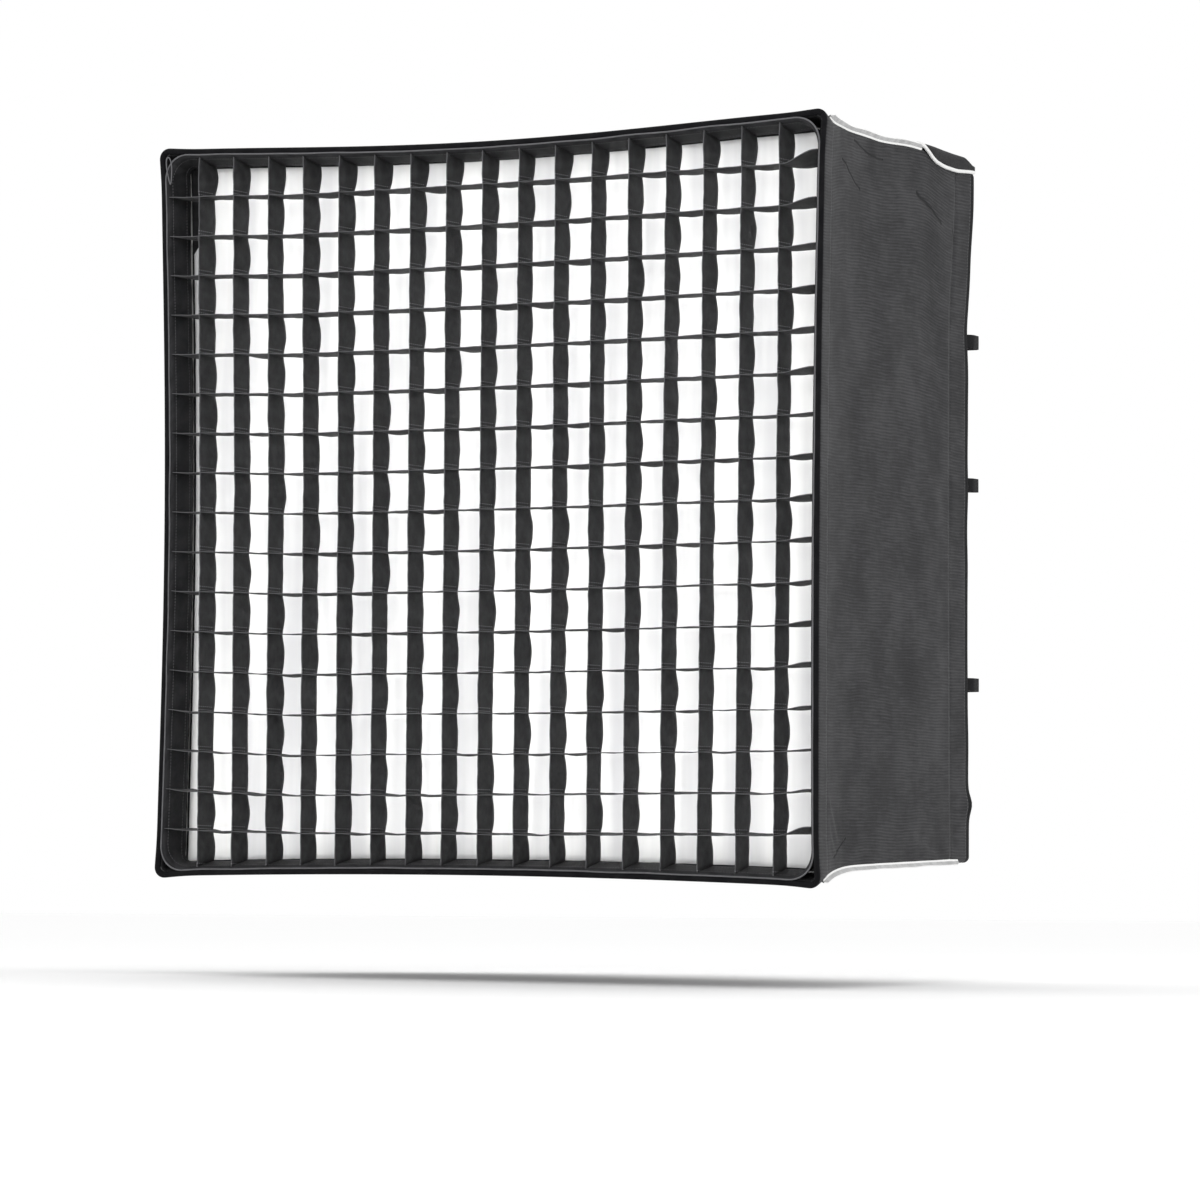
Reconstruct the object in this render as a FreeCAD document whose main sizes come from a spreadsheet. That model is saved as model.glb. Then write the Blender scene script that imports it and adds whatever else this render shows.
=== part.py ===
import FreeCAD, Part
import Sketcher

import math
import os
from collections import namedtuple

from FreeCAD import Placement, Rotation, Vector

# A square studio softbox, about a metre across, that hangs on the back of a flat panel lamp.
# The front faces -Y, +X is to the right and +Z is up. The origin is the centre of the seat
# that the lamp's face presses against. Depths below are counted backwards from the front rim.
# Lengths are millimetres and angles are degrees.

doc = FreeCAD.newDocument("softbox")
sheet = doc.addObject("Spreadsheet::Sheet", "Dimensions")
sub_parts = {}


class Size:
    """A number together with the sheet expression that gives it."""

    def __init__(self, value, text):
        self.value = value
        self.text = text

    def combine(self, other, sign, value):
        return Size(value, f"({self.text} {sign} {as_size(other).text})")

    def __add__(self, other):
        return self.combine(other, "+", self.value + as_size(other).value)

    def __sub__(self, other):
        return self.combine(other, "-", self.value - as_size(other).value)

    def __mul__(self, other):
        return self.combine(other, "*", self.value * as_size(other).value)

    def __truediv__(self, other):
        return self.combine(other, "/", self.value / as_size(other).value)

    def __neg__(self):
        return Size(-self.value, f"(0 - {self.text})")


def as_size(number):
    """A plain number as a Size; a Size stays as it is."""
    if isinstance(number, Size):
        return number
    return Size(float(number), repr(float(number)))


DIMENSIONS = {
    # half sizes of the shell's outer face at its corners
    "front_half": 494.0,
    "vertex_half": 472.5,
    "seat_half": 463.0,
    "rear_half": 463.0,
    # depths of the shell
    "vertex_depth": 100.0,
    "flare_reach": 55.0,
    "seat_depth": 460.0,
    "rear_depth": 522.0,
    # how far the middle of each edge is drawn in
    "front_sag": 10.0,
    "hem_sag": 8.0,
    "bell_sag": 5.0,
    "waist_sag": 2.5,
    "rear_sag": 2.0,
    # cloth
    "cloth_thick": 1.2,
    "lining_thick": 0.8,
    "lining_inset": 8.6,
    "mitre_gap": 0.3,
    "lip_thick": 1.5,
    "collar_thick": 1.6,
    # sprung rods, stays and their sockets
    "rod_radius": 1.75,
    "rod_inset": 5.4,
    "front_rod_depth": 6.0,
    "rear_rod_depth": 455.0,
    "socket_radius": 2.7,
    "socket_ball": 3.0,
    "socket_length": 26.0,
    "bore_radius": 1.85,
    "bore_start": 5.0,
    "rod_end_gap": 6.5,
    # white tape bound over each corner seam
    "seam_tape_start": 26.0,
    "seam_tape_gap": 0.6,
    "seam_tape_reach": 7.0,
    "seam_tape_thick": 2.0,
    "seam_tape_end_gap": 7.0,
    # hook-and-loop tapes
    "tape_thick": 0.8,
    "tape_width": 20.0,
    "tape_step": 0.1,
    "tape_play": 0.3,
    "grid_tape_depth": 8.0,
    "diffuser_tape_depth": 49.0,
    # diffuser
    "diffuser_depth": 46.8,
    "diffuser_thick": 0.8,
    "binding_width": 14.5,
    # fabric grid
    "grid_front": 3.0,
    "grid_back": 41.0,
    "strip_thick": 0.8,
    "strip_gap": 0.4,
    "slot_width": 1.4,
    "slot_overlap": 0.4,
    "cell_count": 18.0,
    "cell_pitch": 53.6,
    "grid_piping_radius": 1.1,
    "grid_piping_depth": 1.8,
    "pull_loop_radius": 9.0,
    # corner flaps
    "flap_front": 381.0,
    "flap_reach": 60.0,
    "flap_drop": 20.0,
    "flap_thick": 1.2,
    "flap_clear": 0.6,
    "flap_round": 14.0,
    "flap_piping_radius": 2.0,
    # rear straps
    "strap_width": 20.0,
    "strap_thick": 1.5,
    "strap_back": 34.0,
    "strap_reach": 90.0,
    "strap_hinge_gap": 1.4,
    "hook_pad_length": 60.0,
    "hook_pad_thick": 1.2,
    "hook_pad_width": 18.0,
}


def fill_sheet():
    """Write each driving dimension to its own cell, with its name beside it."""
    for row, (name, value) in enumerate(DIMENSIONS.items(), start=1):
        sheet.set(f"A{row}", name.replace("_", " "))
        sheet.set(f"B{row}", str(value))
        sheet.setAlias(f"B{row}", name)
    doc.recompute()


fill_sheet()
Names = namedtuple("Names", DIMENSIONS)
d = Names(*(Size(value, f"Dimensions.{name}") for name, value in DIMENSIONS.items()))

# ---------------------------------------------------------------------------------------------
# The shell's outer face. It tapers from the front rim in a bell-shaped flare, then runs almost
# straight back to the seat. Between two stations every face is ruled.

Station = namedtuple("Station", "depth half sag")

front_slope = (d.front_half - d.vertex_half) / d.vertex_depth
back_slope = (d.vertex_half - d.seat_half) / (d.seat_depth - d.vertex_depth)
front_station = Station(as_size(0), d.front_half, d.front_sag)
hem_station = Station(
    d.vertex_depth - d.flare_reach,
    d.vertex_half + d.flare_reach * front_slope,
    d.hem_sag,
)
bell_station = Station(
    d.vertex_depth,
    d.vertex_half + d.flare_reach * (front_slope - back_slope) / 4,
    d.bell_sag,
)
waist_station = Station(
    d.vertex_depth + d.flare_reach,
    d.vertex_half - d.flare_reach * back_slope,
    d.waist_sag,
)
seat_station = Station(d.seat_depth, d.seat_half, d.rear_sag)
rear_station = Station(d.rear_depth, d.rear_half, d.rear_sag)
seat_plane = d.seat_depth + d.lip_thick


def station_between(first, second, depth):
    """The shell's section at a depth between two stations."""
    share = (depth - first.depth) / (second.depth - first.depth)
    return Station(
        depth,
        first.half + (second.half - first.half) * share,
        first.sag + (second.sag - first.sag) * share,
    )


SIDES = {"top": 0, "right": 90, "bottom": 180, "left": 270}
CORNERS = {"top_right": 0, "bottom_right": 90, "bottom_left": 180, "top_left": 270}

# ---------------------------------------------------------------------------------------------
# Helpers that draw, attach and place


def turned(angle, height=0.0):
    """The placement of a piece drawn with its depth from the front rim, turned about the Y axis."""
    return Placement(
        Vector(0, -seat_plane.value, height), Rotation(Vector(0, 1, 0), angle)
    )


def place(obj, angle, height=0.0):
    """Turn an object about the Y axis and bring the seat to the origin."""
    obj.Placement = turned(angle, height)
    obj.setExpression("Placement.Base.y", (-seat_plane).text)


def new_body(label, angle=0, height=0.0):
    body = doc.addObject("PartDesign::Body", label)
    body.Label = label
    place(body, angle, height)
    return body


def keep(label, obj):
    """Register a finished sub-part under the name of its file."""
    obj.Label = label
    sub_parts[label] = obj
    return obj


def group(label, members):
    """One node that holds several equal pieces as separate solids."""
    compound = doc.addObject("Part::Compound", label)
    compound.Links = members
    return keep(label, compound)


def new_sketch(body, name, role, offset):
    """A sketch on one of the body's own origin planes, moved along the plane's normal."""
    sketch = body.newObject("Sketcher::SketchObject", name)
    plane = next(item for item in body.Origin.OriginFeatures if item.Role == role)
    sketch.AttachmentSupport = [(plane, "")]
    sketch.MapMode = "FlatFace"
    sketch.setExpression("AttachmentOffset.Base.z", offset.text)
    return sketch


def section_sketch(body, name, depth):
    """A sketch across the softbox: its first axis is X, its second is Z."""
    return new_sketch(body, name, "XZ_Plane", -as_size(depth))


def constrain(sketch, *terms, size=None):
    """Add one constraint, and bind its value to the sheet if it has one."""
    values = [] if size is None else [size.value]
    index = sketch.addConstraint(Sketcher.Constraint(*terms, *values))
    if size is not None:
        sketch.setExpression(f"Constraints[{index}]", size.text)


def pin_point(sketch, edge, end, point):
    """Fix an edge's end by its two distances from the sketch's origin."""
    constrain(sketch, "DistanceX", -1, 1, edge, end, size=point[0])
    constrain(sketch, "DistanceY", -1, 1, edge, end, size=point[1])


def as_vector(point):
    return Vector(point[0].value, point[1].value, 0)


def bow_radius(half_chord, sag):
    """The radius of an arc with this half chord and sag."""
    return (half_chord * half_chord + sag * sag) / (sag * 2)


def draw_outline(sketch, points, bows=None, bends=None):
    """Close a wire through the points. An edge has the number of the point that it starts at.
    A bow is an edge's half chord and its sag, towards the middle of the sketch, and a bend is
    the point that an edge's arc passes through."""
    bows = bows or {}
    bends = bends or {}
    count = len(points)
    for index, point in enumerate(points):
        start = as_vector(point)
        end = as_vector(points[(index + 1) % count])
        if index in bows:
            middle = (start + end) / 2
            sag = bows[index][1].value
            bend = middle - Vector(middle).normalize() * sag
            sketch.addGeometry(Part.Arc(start, bend, end))
        elif index in bends:
            sketch.addGeometry(Part.Arc(start, as_vector(bends[index]), end))
        else:
            sketch.addGeometry(Part.LineSegment(start, end))
    for index, point in enumerate(points):
        start_end = end_towards(sketch, index, as_vector(point))
        previous = (index - 1) % count
        previous_end = end_towards(sketch, previous, as_vector(point))
        constrain(sketch, "Coincident", previous, previous_end, index, start_end)
        pin_point(sketch, index, start_end, point)
    for index, (half_chord, sag) in bows.items():
        constrain(sketch, "Radius", index, size=bow_radius(half_chord, sag))


def end_towards(sketch, edge, point):
    """Which end of a sketch edge, 1 or 2, lies at the point."""
    return min((1, 2), key=lambda end: sketch.getPoint(edge, end).distanceToPoint(point))


def close_body(body, feature):
    body.Tip = feature
    return body


def pad(body, sketch, length, midplane=False, backwards=False):
    feature = body.newObject("PartDesign::Pad", f"{sketch.Name}_pad")
    feature.Profile = sketch
    feature.SideType = "Symmetric" if midplane else "One side"
    feature.Reversed = backwards
    feature.setExpression("Length", length.text)
    return close_body(body, feature)


def loft(body, sketches):
    """A ruled loft through the section sketches, from the front to the back."""
    feature = body.newObject("PartDesign::AdditiveLoft", f"{body.Name}_loft")
    feature.Profile = sketches[0]
    feature.Sections = sketches[1:]
    feature.Ruled = True
    return close_body(body, feature)


def pipe(body, path, radius):
    """A round pipe along a sketched path, its profile square to the path's start."""
    profile = body.newObject("Sketcher::SketchObject", f"{body.Name}_profile")
    profile.AttachmentSupport = [(path, "Edge1")]
    profile.MapMode = "NormalToEdge"
    profile.MapPathParameter = 0
    profile.addGeometry(Part.Circle(Vector(0, 0, 0), Vector(0, 0, 1), radius.value))
    constrain(profile, "Coincident", 0, 3, -1, 1)
    constrain(profile, "Radius", 0, size=radius)
    feature = body.newObject("PartDesign::AdditivePipe", f"{body.Name}_pipe")
    feature.Profile = profile
    feature.Spine = path
    return close_body(body, feature)


def strip_sketch(body, name, station, outside, inside):
    """The section of a cloth wall's top side: two bowed edges joined by mitred ends."""
    outer = station.half - outside
    inner = station.half - inside
    outer_end = outer - d.mitre_gap
    inner_end = inner - d.mitre_gap
    sketch = section_sketch(body, name, station.depth)
    draw_outline(
        sketch,
        [(-outer_end, outer), (outer_end, outer), (inner_end, inner), (-inner_end, inner)],
        {0: (outer_end, station.sag), 2: (inner_end, station.sag)},
    )
    return sketch


def wall(label, angle, stations, outside, inside):
    """One side of a cloth tube, lofted through stations, between two distances from the face."""
    body = new_body(label, angle)
    sketches = [
        strip_sketch(body, f"{label}_section_{number}", station, outside, inside)
        for number, station in enumerate(stations)
    ]
    return loft(body, sketches)


def add_lip(body, label, station, outside, inside, thickness):
    """A flat strip across the softbox, fused to the end of a wall."""
    sketch = strip_sketch(body, f"{label}_lip", station, outside, inside)
    return pad(body, sketch, thickness, backwards=True)


# ---------------------------------------------------------------------------------------------
# Cloth shell: black outer panels, white lining, front hem and rear collar

lining_outside = d.lining_inset
lining_inside = d.lining_inset + d.lining_thick
lining_rear = station_between(waist_station, seat_station, d.seat_depth - d.tape_play)


def outer_panel(side, angle):
    stations = [front_station, hem_station, bell_station, waist_station, seat_station]
    label = f"outer_panel_{side}"
    keep(label, wall(label, angle, stations, as_size(0), d.cloth_thick))


def lining(side, angle):
    stations = [hem_station, bell_station, waist_station, lining_rear]
    label = f"lining_{side}"
    keep(label, wall(label, angle, stations, lining_outside, lining_inside))


def front_hem(side, angle):
    """The inner layer of the hem that holds the front rod, with the fold at the rim."""
    label = f"front_hem_{side}"
    hem_back = station_between(front_station, hem_station, hem_station.depth - d.tape_play)
    body = wall(label, angle, [front_station, hem_back], lining_outside, lining_inside)
    add_lip(body, label, front_station, d.cloth_thick + d.tape_play, lining_inside, d.cloth_thick)
    keep(label, body)


def collar(side, angle):
    """The band that grips the lamp's edge, with the lip that the lamp's face presses on."""
    label = f"collar_{side}"
    body = wall(label, angle, [seat_station, rear_station], as_size(0), d.collar_thick)
    add_lip(body, label, seat_station, as_size(0), lining_inside, d.lip_thick)
    keep(label, body)


# ---------------------------------------------------------------------------------------------
# Sprung rods, corner stays and their sockets

ROD_STATIONS = {
    "front": station_between(front_station, hem_station, d.front_rod_depth),
    "rear": station_between(waist_station, seat_station, d.rear_rod_depth),
}


def rod(end, side, angle):
    """A fibreglass rod that the cloth bows inwards: a short piece of a very large ring."""
    station = ROD_STATIONS[end]
    corner = station.half - d.rod_inset
    radius = bow_radius(corner, station.sag)
    half_turn = math.degrees(math.asin((corner.value - d.rod_end_gap.value) / radius.value))
    ring = doc.addObject("Part::Torus", f"{end}_rod_{side}")
    ring.setExpression("Radius1", radius.text)
    ring.setExpression("Radius2", d.rod_radius.text)
    ring.setExpression("Angle3", f"2 * asin({(corner - d.rod_end_gap).text} / {radius.text})")
    centre = corner - station.sag + radius
    lowest = Rotation(Vector(0, 0, 1), -90 - half_turn)
    upright = Rotation(Vector(1, 0, 0), 90)
    ring.Placement = turned(angle) * Placement(
        Vector(0, station.depth.value, centre.value), upright * lowest
    )
    keep(f"{end}_rod_{side}", ring)


def rod_slope(station):
    """How steeply a bowed rod meets its corner."""
    return 2 * station.sag.value / (station.half - d.rod_inset).value


def socket(end, corner, angle):
    """A moulded three-way corner: a ball with a blind tube for each rod and for the stay."""
    station = ROD_STATIONS[end]
    reach = (station.half - d.rod_inset).value
    lean = rod_slope(station)
    stay_lean = front_slope.value if end == "front" else -back_slope.value
    stay_way = 1 if end == "front" else -1
    centre = Vector(reach, station.depth.value, reach)
    arms = [
        Vector(-1, 0, -lean),
        Vector(-lean, 0, -1),
        Vector(-stay_lean, stay_way, -stay_lean),
    ]
    name = f"{end}_socket_{corner}"
    ball = doc.addObject("Part::Sphere", f"{name}_ball")
    ball.setExpression("Radius", d.socket_ball.text)
    ball.Placement = Placement(centre, Rotation())
    solids = [ball]
    bores = []
    for number, arm in enumerate(arms):
        aim = Rotation(Vector(0, 0, 1), arm)
        tube = doc.addObject("Part::Cylinder", f"{name}_tube_{number}")
        tube.setExpression("Radius", d.socket_radius.text)
        tube.setExpression("Height", d.socket_length.text)
        tube.Placement = Placement(centre, aim)
        solids.append(tube)
        bore = doc.addObject("Part::Cylinder", f"{name}_bore_{number}")
        bore.setExpression("Radius", d.bore_radius.text)
        bore.setExpression("Height", d.socket_length.text)
        start = Vector(arm).normalize() * d.bore_start.value
        bore.Placement = Placement(centre + start, aim)
        bores.append(bore)
    body = doc.addObject("Part::MultiFuse", f"{name}_body")
    body.Shapes = solids
    holes = doc.addObject("Part::MultiFuse", f"{name}_holes")
    holes.Shapes = bores
    cut = doc.addObject("Part::Cut", name)
    cut.Base = body
    cut.Tool = holes
    place(cut, angle)
    return cut


CornerLine = namedtuple("CornerLine", "first bend_start middle bend_end last")


def corner_line(inset, start_depth, end_depth):
    """Points of a line, an arc and a line that follow the flare in a corner's diagonal plane."""
    diagonal = math.sqrt(2)

    def on_front(depth):
        return ((d.front_half - inset - depth * front_slope) * diagonal, depth)

    def on_back(depth):
        run = depth - d.vertex_depth
        return ((d.vertex_half - inset - run * back_slope) * diagonal, depth)

    return CornerLine(
        on_front(start_depth),
        on_front(hem_station.depth),
        ((bell_station.half - inset) * diagonal, d.vertex_depth),
        on_back(waist_station.depth),
        on_back(end_depth),
    )


def corner_stay(corner, angle):
    """A fibreglass rod that holds the front and rear corners apart."""
    label = f"corner_stay_{corner}"
    body = new_body(label, angle - 45)
    start = d.front_rod_depth + d.rod_end_gap
    end = d.rear_rod_depth - d.rod_end_gap
    line = corner_line(d.rod_inset, start, end)
    path = new_sketch(body, f"{label}_path", "XY_Plane", as_size(0))
    path.addGeometry(Part.LineSegment(as_vector(line.first), as_vector(line.bend_start)))
    path.addGeometry(
        Part.Arc(as_vector(line.bend_start), as_vector(line.middle), as_vector(line.bend_end))
    )
    path.addGeometry(Part.LineSegment(as_vector(line.bend_end), as_vector(line.last)))
    arc_start = end_towards(path, 1, as_vector(line.bend_start))
    constrain(path, "Coincident", 0, 2, 1, arc_start)
    constrain(path, "Coincident", 1, 3 - arc_start, 2, 1)
    pin_point(path, 0, 1, line.first)
    pin_point(path, 0, 2, line.bend_start)
    pin_point(path, 2, 1, line.bend_end)
    pin_point(path, 2, 2, line.last)
    keep(label, pipe(body, path, d.rod_radius))


def seam_tape(corner, angle):
    """The white tape that binds a corner seam and stands out from it like a fin. A top one
    stops where the flap starts."""
    name = f"seam_tape_{corner}"
    body = new_body(name, angle - 45)
    end = d.flap_front - d.seam_tape_end_gap if corner.startswith("top") else d.seat_depth
    near = corner_line(-d.seam_tape_gap, d.seam_tape_start, end)
    far = corner_line(-d.seam_tape_gap - d.seam_tape_reach, d.seam_tape_start, end)
    sketch = new_sketch(body, f"{name}_outline", "XY_Plane", as_size(0))
    points = [
        near.first,
        near.bend_start,
        near.bend_end,
        near.last,
        far.last,
        far.bend_end,
        far.bend_start,
        far.first,
    ]
    draw_outline(sketch, points, bends={1: near.middle, 5: far.middle})
    return pad(body, sketch, d.seam_tape_thick, midplane=True)


# ---------------------------------------------------------------------------------------------
# Hook-and-loop tapes. The loop tape is sewn to the shell and the hook tape rides on it.

loop_outside = lining_inside + d.tape_step
loop_inside = loop_outside + d.tape_thick
hook_outside = loop_inside + d.tape_play
hook_inside = hook_outside + d.tape_thick


def tape(name, ends, outside, inside):
    """Four strips of tape round the inside of the shell, between two depths."""
    first_station, second_station, start, width = ends
    strips = []
    for side, angle in SIDES.items():
        stations = [
            station_between(first_station, second_station, depth)
            for depth in (start, start + width)
        ]
        strips.append(wall(f"{name}_{side}", angle, stations, outside, inside))
    return group(name, strips)


GRID_TAPE = (front_station, hem_station, d.grid_tape_depth, d.tape_width)
DIFFUSER_TAPE = (hem_station, bell_station, d.diffuser_tape_depth, d.tape_width)


def diffuser_hook_tape():
    """The black tape that binds the diffuser: a lip over its face, and hooks down its side."""
    name = "diffuser_hook_tape"
    front_depth = d.diffuser_depth - d.tape_thick
    front = station_between(hem_station, bell_station, front_depth)
    back = station_between(hem_station, bell_station, d.diffuser_tape_depth + d.tape_width)
    strips = []
    for side, angle in SIDES.items():
        label = f"{name}_{side}"
        body = wall(label, angle, [front, back], hook_outside, hook_inside)
        lip_inside = hook_outside + d.binding_width
        strips.append(add_lip(body, label, front, hook_outside, lip_inside, d.tape_thick))
    group(name, strips)


# ---------------------------------------------------------------------------------------------
# Diffuser and fabric grid


def diffuser_cloth():
    """A flat white cloth with the rim's bowed outline."""
    body = new_body("diffuser_cloth")
    station = station_between(hem_station, bell_station, d.diffuser_depth)
    half = station.half - hook_inside - d.tape_step
    sketch = section_sketch(body, "diffuser_outline", d.diffuser_depth)
    corners = [(-half, half), (half, half), (half, -half), (-half, -half)]
    bows = {edge: (half, station.sag) for edge in range(4)}
    draw_outline(sketch, corners, bows)
    keep("diffuser_cloth", pad(body, sketch, d.diffuser_thick, backwards=True))


border_outside = hook_inside + d.tape_step
border_inside = border_outside + d.strip_thick
grid_front_station = station_between(front_station, hem_station, d.grid_front)
grid_back_station = station_between(front_station, hem_station, d.grid_back)
border_line = d.front_half - (border_outside + border_inside) / 2


def grid_border(side, angle):
    label = f"grid_border_{side}"
    stations = [grid_front_station, grid_back_station]
    keep(label, wall(label, angle, stations, border_outside, border_inside))


def strip_reach(station, offset):
    """Half the length of a strip at a distance from the middle, inside the bowed border."""
    half = station.half - border_inside
    share = offset / half
    return half - station.sag * (as_size(1) - share * share) - d.strip_gap


def grid_strip(name, number, angle, slots_in_front):
    """A strip across the grid, with a slot half its depth deep for each strip it crosses."""
    body = new_body(name, angle)
    offset = d.cell_pitch * number
    front = strip_reach(grid_front_station, offset)
    back = strip_reach(grid_back_station, offset)
    sketch = new_sketch(body, f"{name}_outline", "YZ_Plane", offset)
    corners = [
        (d.grid_front, front),
        (d.grid_back, back),
        (d.grid_back, -back),
        (d.grid_front, -front),
    ]
    draw_outline(sketch, corners)
    pad(body, sketch, d.strip_thick, midplane=True)
    middle = (d.grid_front + d.grid_back) / 2
    if slots_in_front:
        slot_ends = (d.grid_front - d.slot_overlap, middle + d.slot_overlap)
    else:
        slot_ends = (middle - d.slot_overlap, d.grid_back + d.slot_overlap)
    first_slot = -d.cell_pitch * (d.cell_count / 2 - 1)
    low = first_slot - d.slot_width / 2
    high = first_slot + d.slot_width / 2
    slot = new_sketch(body, f"{name}_slot", "YZ_Plane", offset)
    draw_outline(
        slot,
        [(slot_ends[0], low), (slot_ends[1], low), (slot_ends[1], high), (slot_ends[0], high)],
    )
    pocket = body.newObject("PartDesign::Pocket", f"{name}_pocket")
    pocket.Profile = slot
    pocket.Type = "ThroughAll"
    pocket.SideType = "Symmetric"
    pattern = body.newObject("PartDesign::LinearPattern", f"{name}_slots")
    pattern.Originals = [pocket]
    pattern.Direction = (slot, ["V_Axis"])
    pattern.setExpression("Length", (d.cell_pitch * (d.cell_count - 2)).text)
    pattern.setExpression("Occurrences", (d.cell_count - 1).text)
    return close_body(body, pattern)


def grid_strips():
    """The upright strips take their slots from behind, the level ones from in front."""
    most = int(d.cell_count.value) // 2 - 1
    numbers = range(-most, most + 1)
    upright = [grid_strip(f"upright_strip_{n + most}", n, 0, False) for n in numbers]
    level = [grid_strip(f"level_strip_{n + most}", n, 90, True) for n in numbers]
    group("grid_strips_vertical", upright)
    group("grid_strips_horizontal", level)


def grid_edge_piping():
    """A thin cord along the front edge of the grid's border, one bowed length per side."""
    station = station_between(front_station, hem_station, d.grid_piping_depth)
    corner = station.half - (border_outside + border_inside) / 2
    end = corner - d.grid_piping_radius
    lengths = []
    for side, angle in SIDES.items():
        name = f"grid_piping_{side}"
        body = new_body(name, angle)
        path = section_sketch(body, f"{name}_path", station.depth)
        start = (-end, corner)
        finish = (end, corner)
        bend = Vector(0, (corner - station.sag).value, 0)
        path.addGeometry(Part.Arc(as_vector(start), bend, as_vector(finish)))
        pin_point(path, 0, end_towards(path, 0, as_vector(start)), start)
        pin_point(path, 0, end_towards(path, 0, as_vector(finish)), finish)
        constrain(path, "Radius", 0, size=bow_radius(end, station.sag))
        lengths.append(pipe(body, path, d.grid_piping_radius))
    group("grid_edge_piping", lengths)


def grid_pull_loop():
    """A cord loop at the grid's top left corner, for pulling the grid out."""
    loop = doc.addObject("Part::Torus", "grid_pull_loop")
    loop.setExpression("Radius1", d.pull_loop_radius.text)
    loop.setExpression("Radius2", d.grid_piping_radius.text)
    reach = (border_line - d.pull_loop_radius * 2).value
    depth = (d.grid_piping_depth - d.grid_piping_radius * 2 - d.tape_step).value
    loop.Placement = turned(0) * Placement(
        Vector(-reach, depth, reach), Rotation(Vector(1, 0, 0), 90)
    )
    keep("grid_pull_loop", loop)


# ---------------------------------------------------------------------------------------------
# Rear corner flaps. Each covers the slit that lets the collar open at a top corner.

flap_station = station_between(waist_station, seat_station, d.flap_front)
flap_inner = flap_station.half + d.flap_clear
flap_outer = flap_inner + d.flap_thick
flap_edge = flap_station.half - d.flap_drop


def corner_flap(side, way):
    """An angle of cloth: one leg on the top panel, the other hanging over the side panel."""
    label = f"corner_flap_{side}"
    body = new_body(label)
    sketch = section_sketch(body, f"{label}_profile", d.flap_front)
    hinge = flap_station.half - d.flap_reach
    points = [
        (hinge * way, flap_inner),
        (hinge * way, flap_outer),
        (flap_outer * way, flap_outer),
        (flap_outer * way, flap_edge),
        (flap_inner * way, flap_edge),
        (flap_inner * way, flap_inner),
    ]
    draw_outline(sketch, points)
    pad(body, sketch, d.rear_depth - d.flap_front, backwards=True)
    doc.recompute()
    angle_piece = body.Tip
    corner = Vector(way * (flap_inner + flap_outer).value / 2, d.flap_front.value, flap_edge.value)
    edges = [
        f"Edge{number}"
        for number, edge in enumerate(angle_piece.Shape.Edges, start=1)
        if (edge.CenterOfMass - corner).Length < d.flap_thick.value / 4
    ]
    rounding = body.newObject("PartDesign::Fillet", f"{label}_corner")
    rounding.Base = (angle_piece, edges)
    rounding.setExpression("Radius", d.flap_round.text)
    keep(label, close_body(body, rounding))


def flap_piping(side, way):
    """The white cord along the flap's free edge: down its front, round the corner, and back."""
    label = f"flap_piping_{side}"
    body = new_body(label)
    across = (flap_inner + d.flap_piping_radius) * way
    path = new_sketch(body, f"{label}_path", "YZ_Plane", across)
    bend_radius = d.flap_round + d.flap_piping_radius
    front = d.flap_front - d.flap_piping_radius
    low = flap_edge - d.flap_piping_radius
    top = (front, flap_inner)
    turn_start = (front, low + bend_radius)
    turn_end = (front + bend_radius, low)
    rear = (d.rear_depth, low)
    slack = bend_radius * (1 - math.sqrt(0.5))
    middle = (front + slack, low + slack)
    path.addGeometry(Part.LineSegment(as_vector(top), as_vector(turn_start)))
    path.addGeometry(Part.Arc(as_vector(turn_start), as_vector(middle), as_vector(turn_end)))
    path.addGeometry(Part.LineSegment(as_vector(turn_end), as_vector(rear)))
    arc_start = end_towards(path, 1, as_vector(turn_start))
    constrain(path, "Coincident", 0, 2, 1, arc_start)
    constrain(path, "Coincident", 1, 3 - arc_start, 2, 1)
    pin_point(path, 0, 1, top)
    pin_point(path, 0, 2, turn_start)
    pin_point(path, 2, 1, turn_end)
    pin_point(path, 2, 2, rear)
    keep(label, pipe(body, path, d.flap_piping_radius))


# ---------------------------------------------------------------------------------------------
# Rear straps. Three on each side run back past the lamp and turn in across its back.

# heights as shares of the collar's half size, from the middle
STRAP_HEIGHTS = {"upper": 0.52, "middle": 0.10, "lower": -0.50}
# the straps are drawn for the right side, and turned half round for the left
STRAP_SIDES = {"right": 0, "left": 180}

strap_outer = d.rear_half + d.strap_thick / 2
strap_start = d.rear_depth + d.strap_hinge_gap
strap_back = strap_start + d.strap_back


def strap_height(level):
    return STRAP_HEIGHTS[level] * d.rear_half.value


def rear_strap(side, level):
    """Webbing that leaves the collar's edge, goes straight back, and turns inwards."""
    label = f"rear_strap_{side}_{level}"
    body = new_body(label, STRAP_SIDES[side], strap_height(level))
    sketch = new_sketch(body, f"{label}_profile", "XY_Plane", as_size(0))
    inner = strap_outer - d.strap_thick
    tip = strap_outer - d.strap_reach
    points = [
        (inner, strap_start),
        (strap_outer, strap_start),
        (strap_outer, strap_back),
        (tip, strap_back),
        (tip, strap_back - d.strap_thick),
        (inner, strap_back - d.strap_thick),
    ]
    draw_outline(sketch, points)
    keep(label, pad(body, sketch, d.strap_width, midplane=True))


def strap_hook_pad(side, level):
    """The hook patch sewn on the side of the strap that meets the lamp's back."""
    label = f"strap_hook_pad_{side}_{level}"
    body = new_body(label, STRAP_SIDES[side], strap_height(level))
    sketch = new_sketch(body, f"{label}_profile", "XY_Plane", as_size(0))
    tip = strap_outer - d.strap_reach + d.strap_thick
    face = strap_back - d.strap_thick
    points = [
        (tip, face),
        (tip + d.hook_pad_length, face),
        (tip + d.hook_pad_length, face - d.hook_pad_thick),
        (tip, face - d.hook_pad_thick),
    ]
    draw_outline(sketch, points)
    keep(label, pad(body, sketch, d.hook_pad_width, midplane=True))


# ---------------------------------------------------------------------------------------------
# Build, check and write


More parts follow.
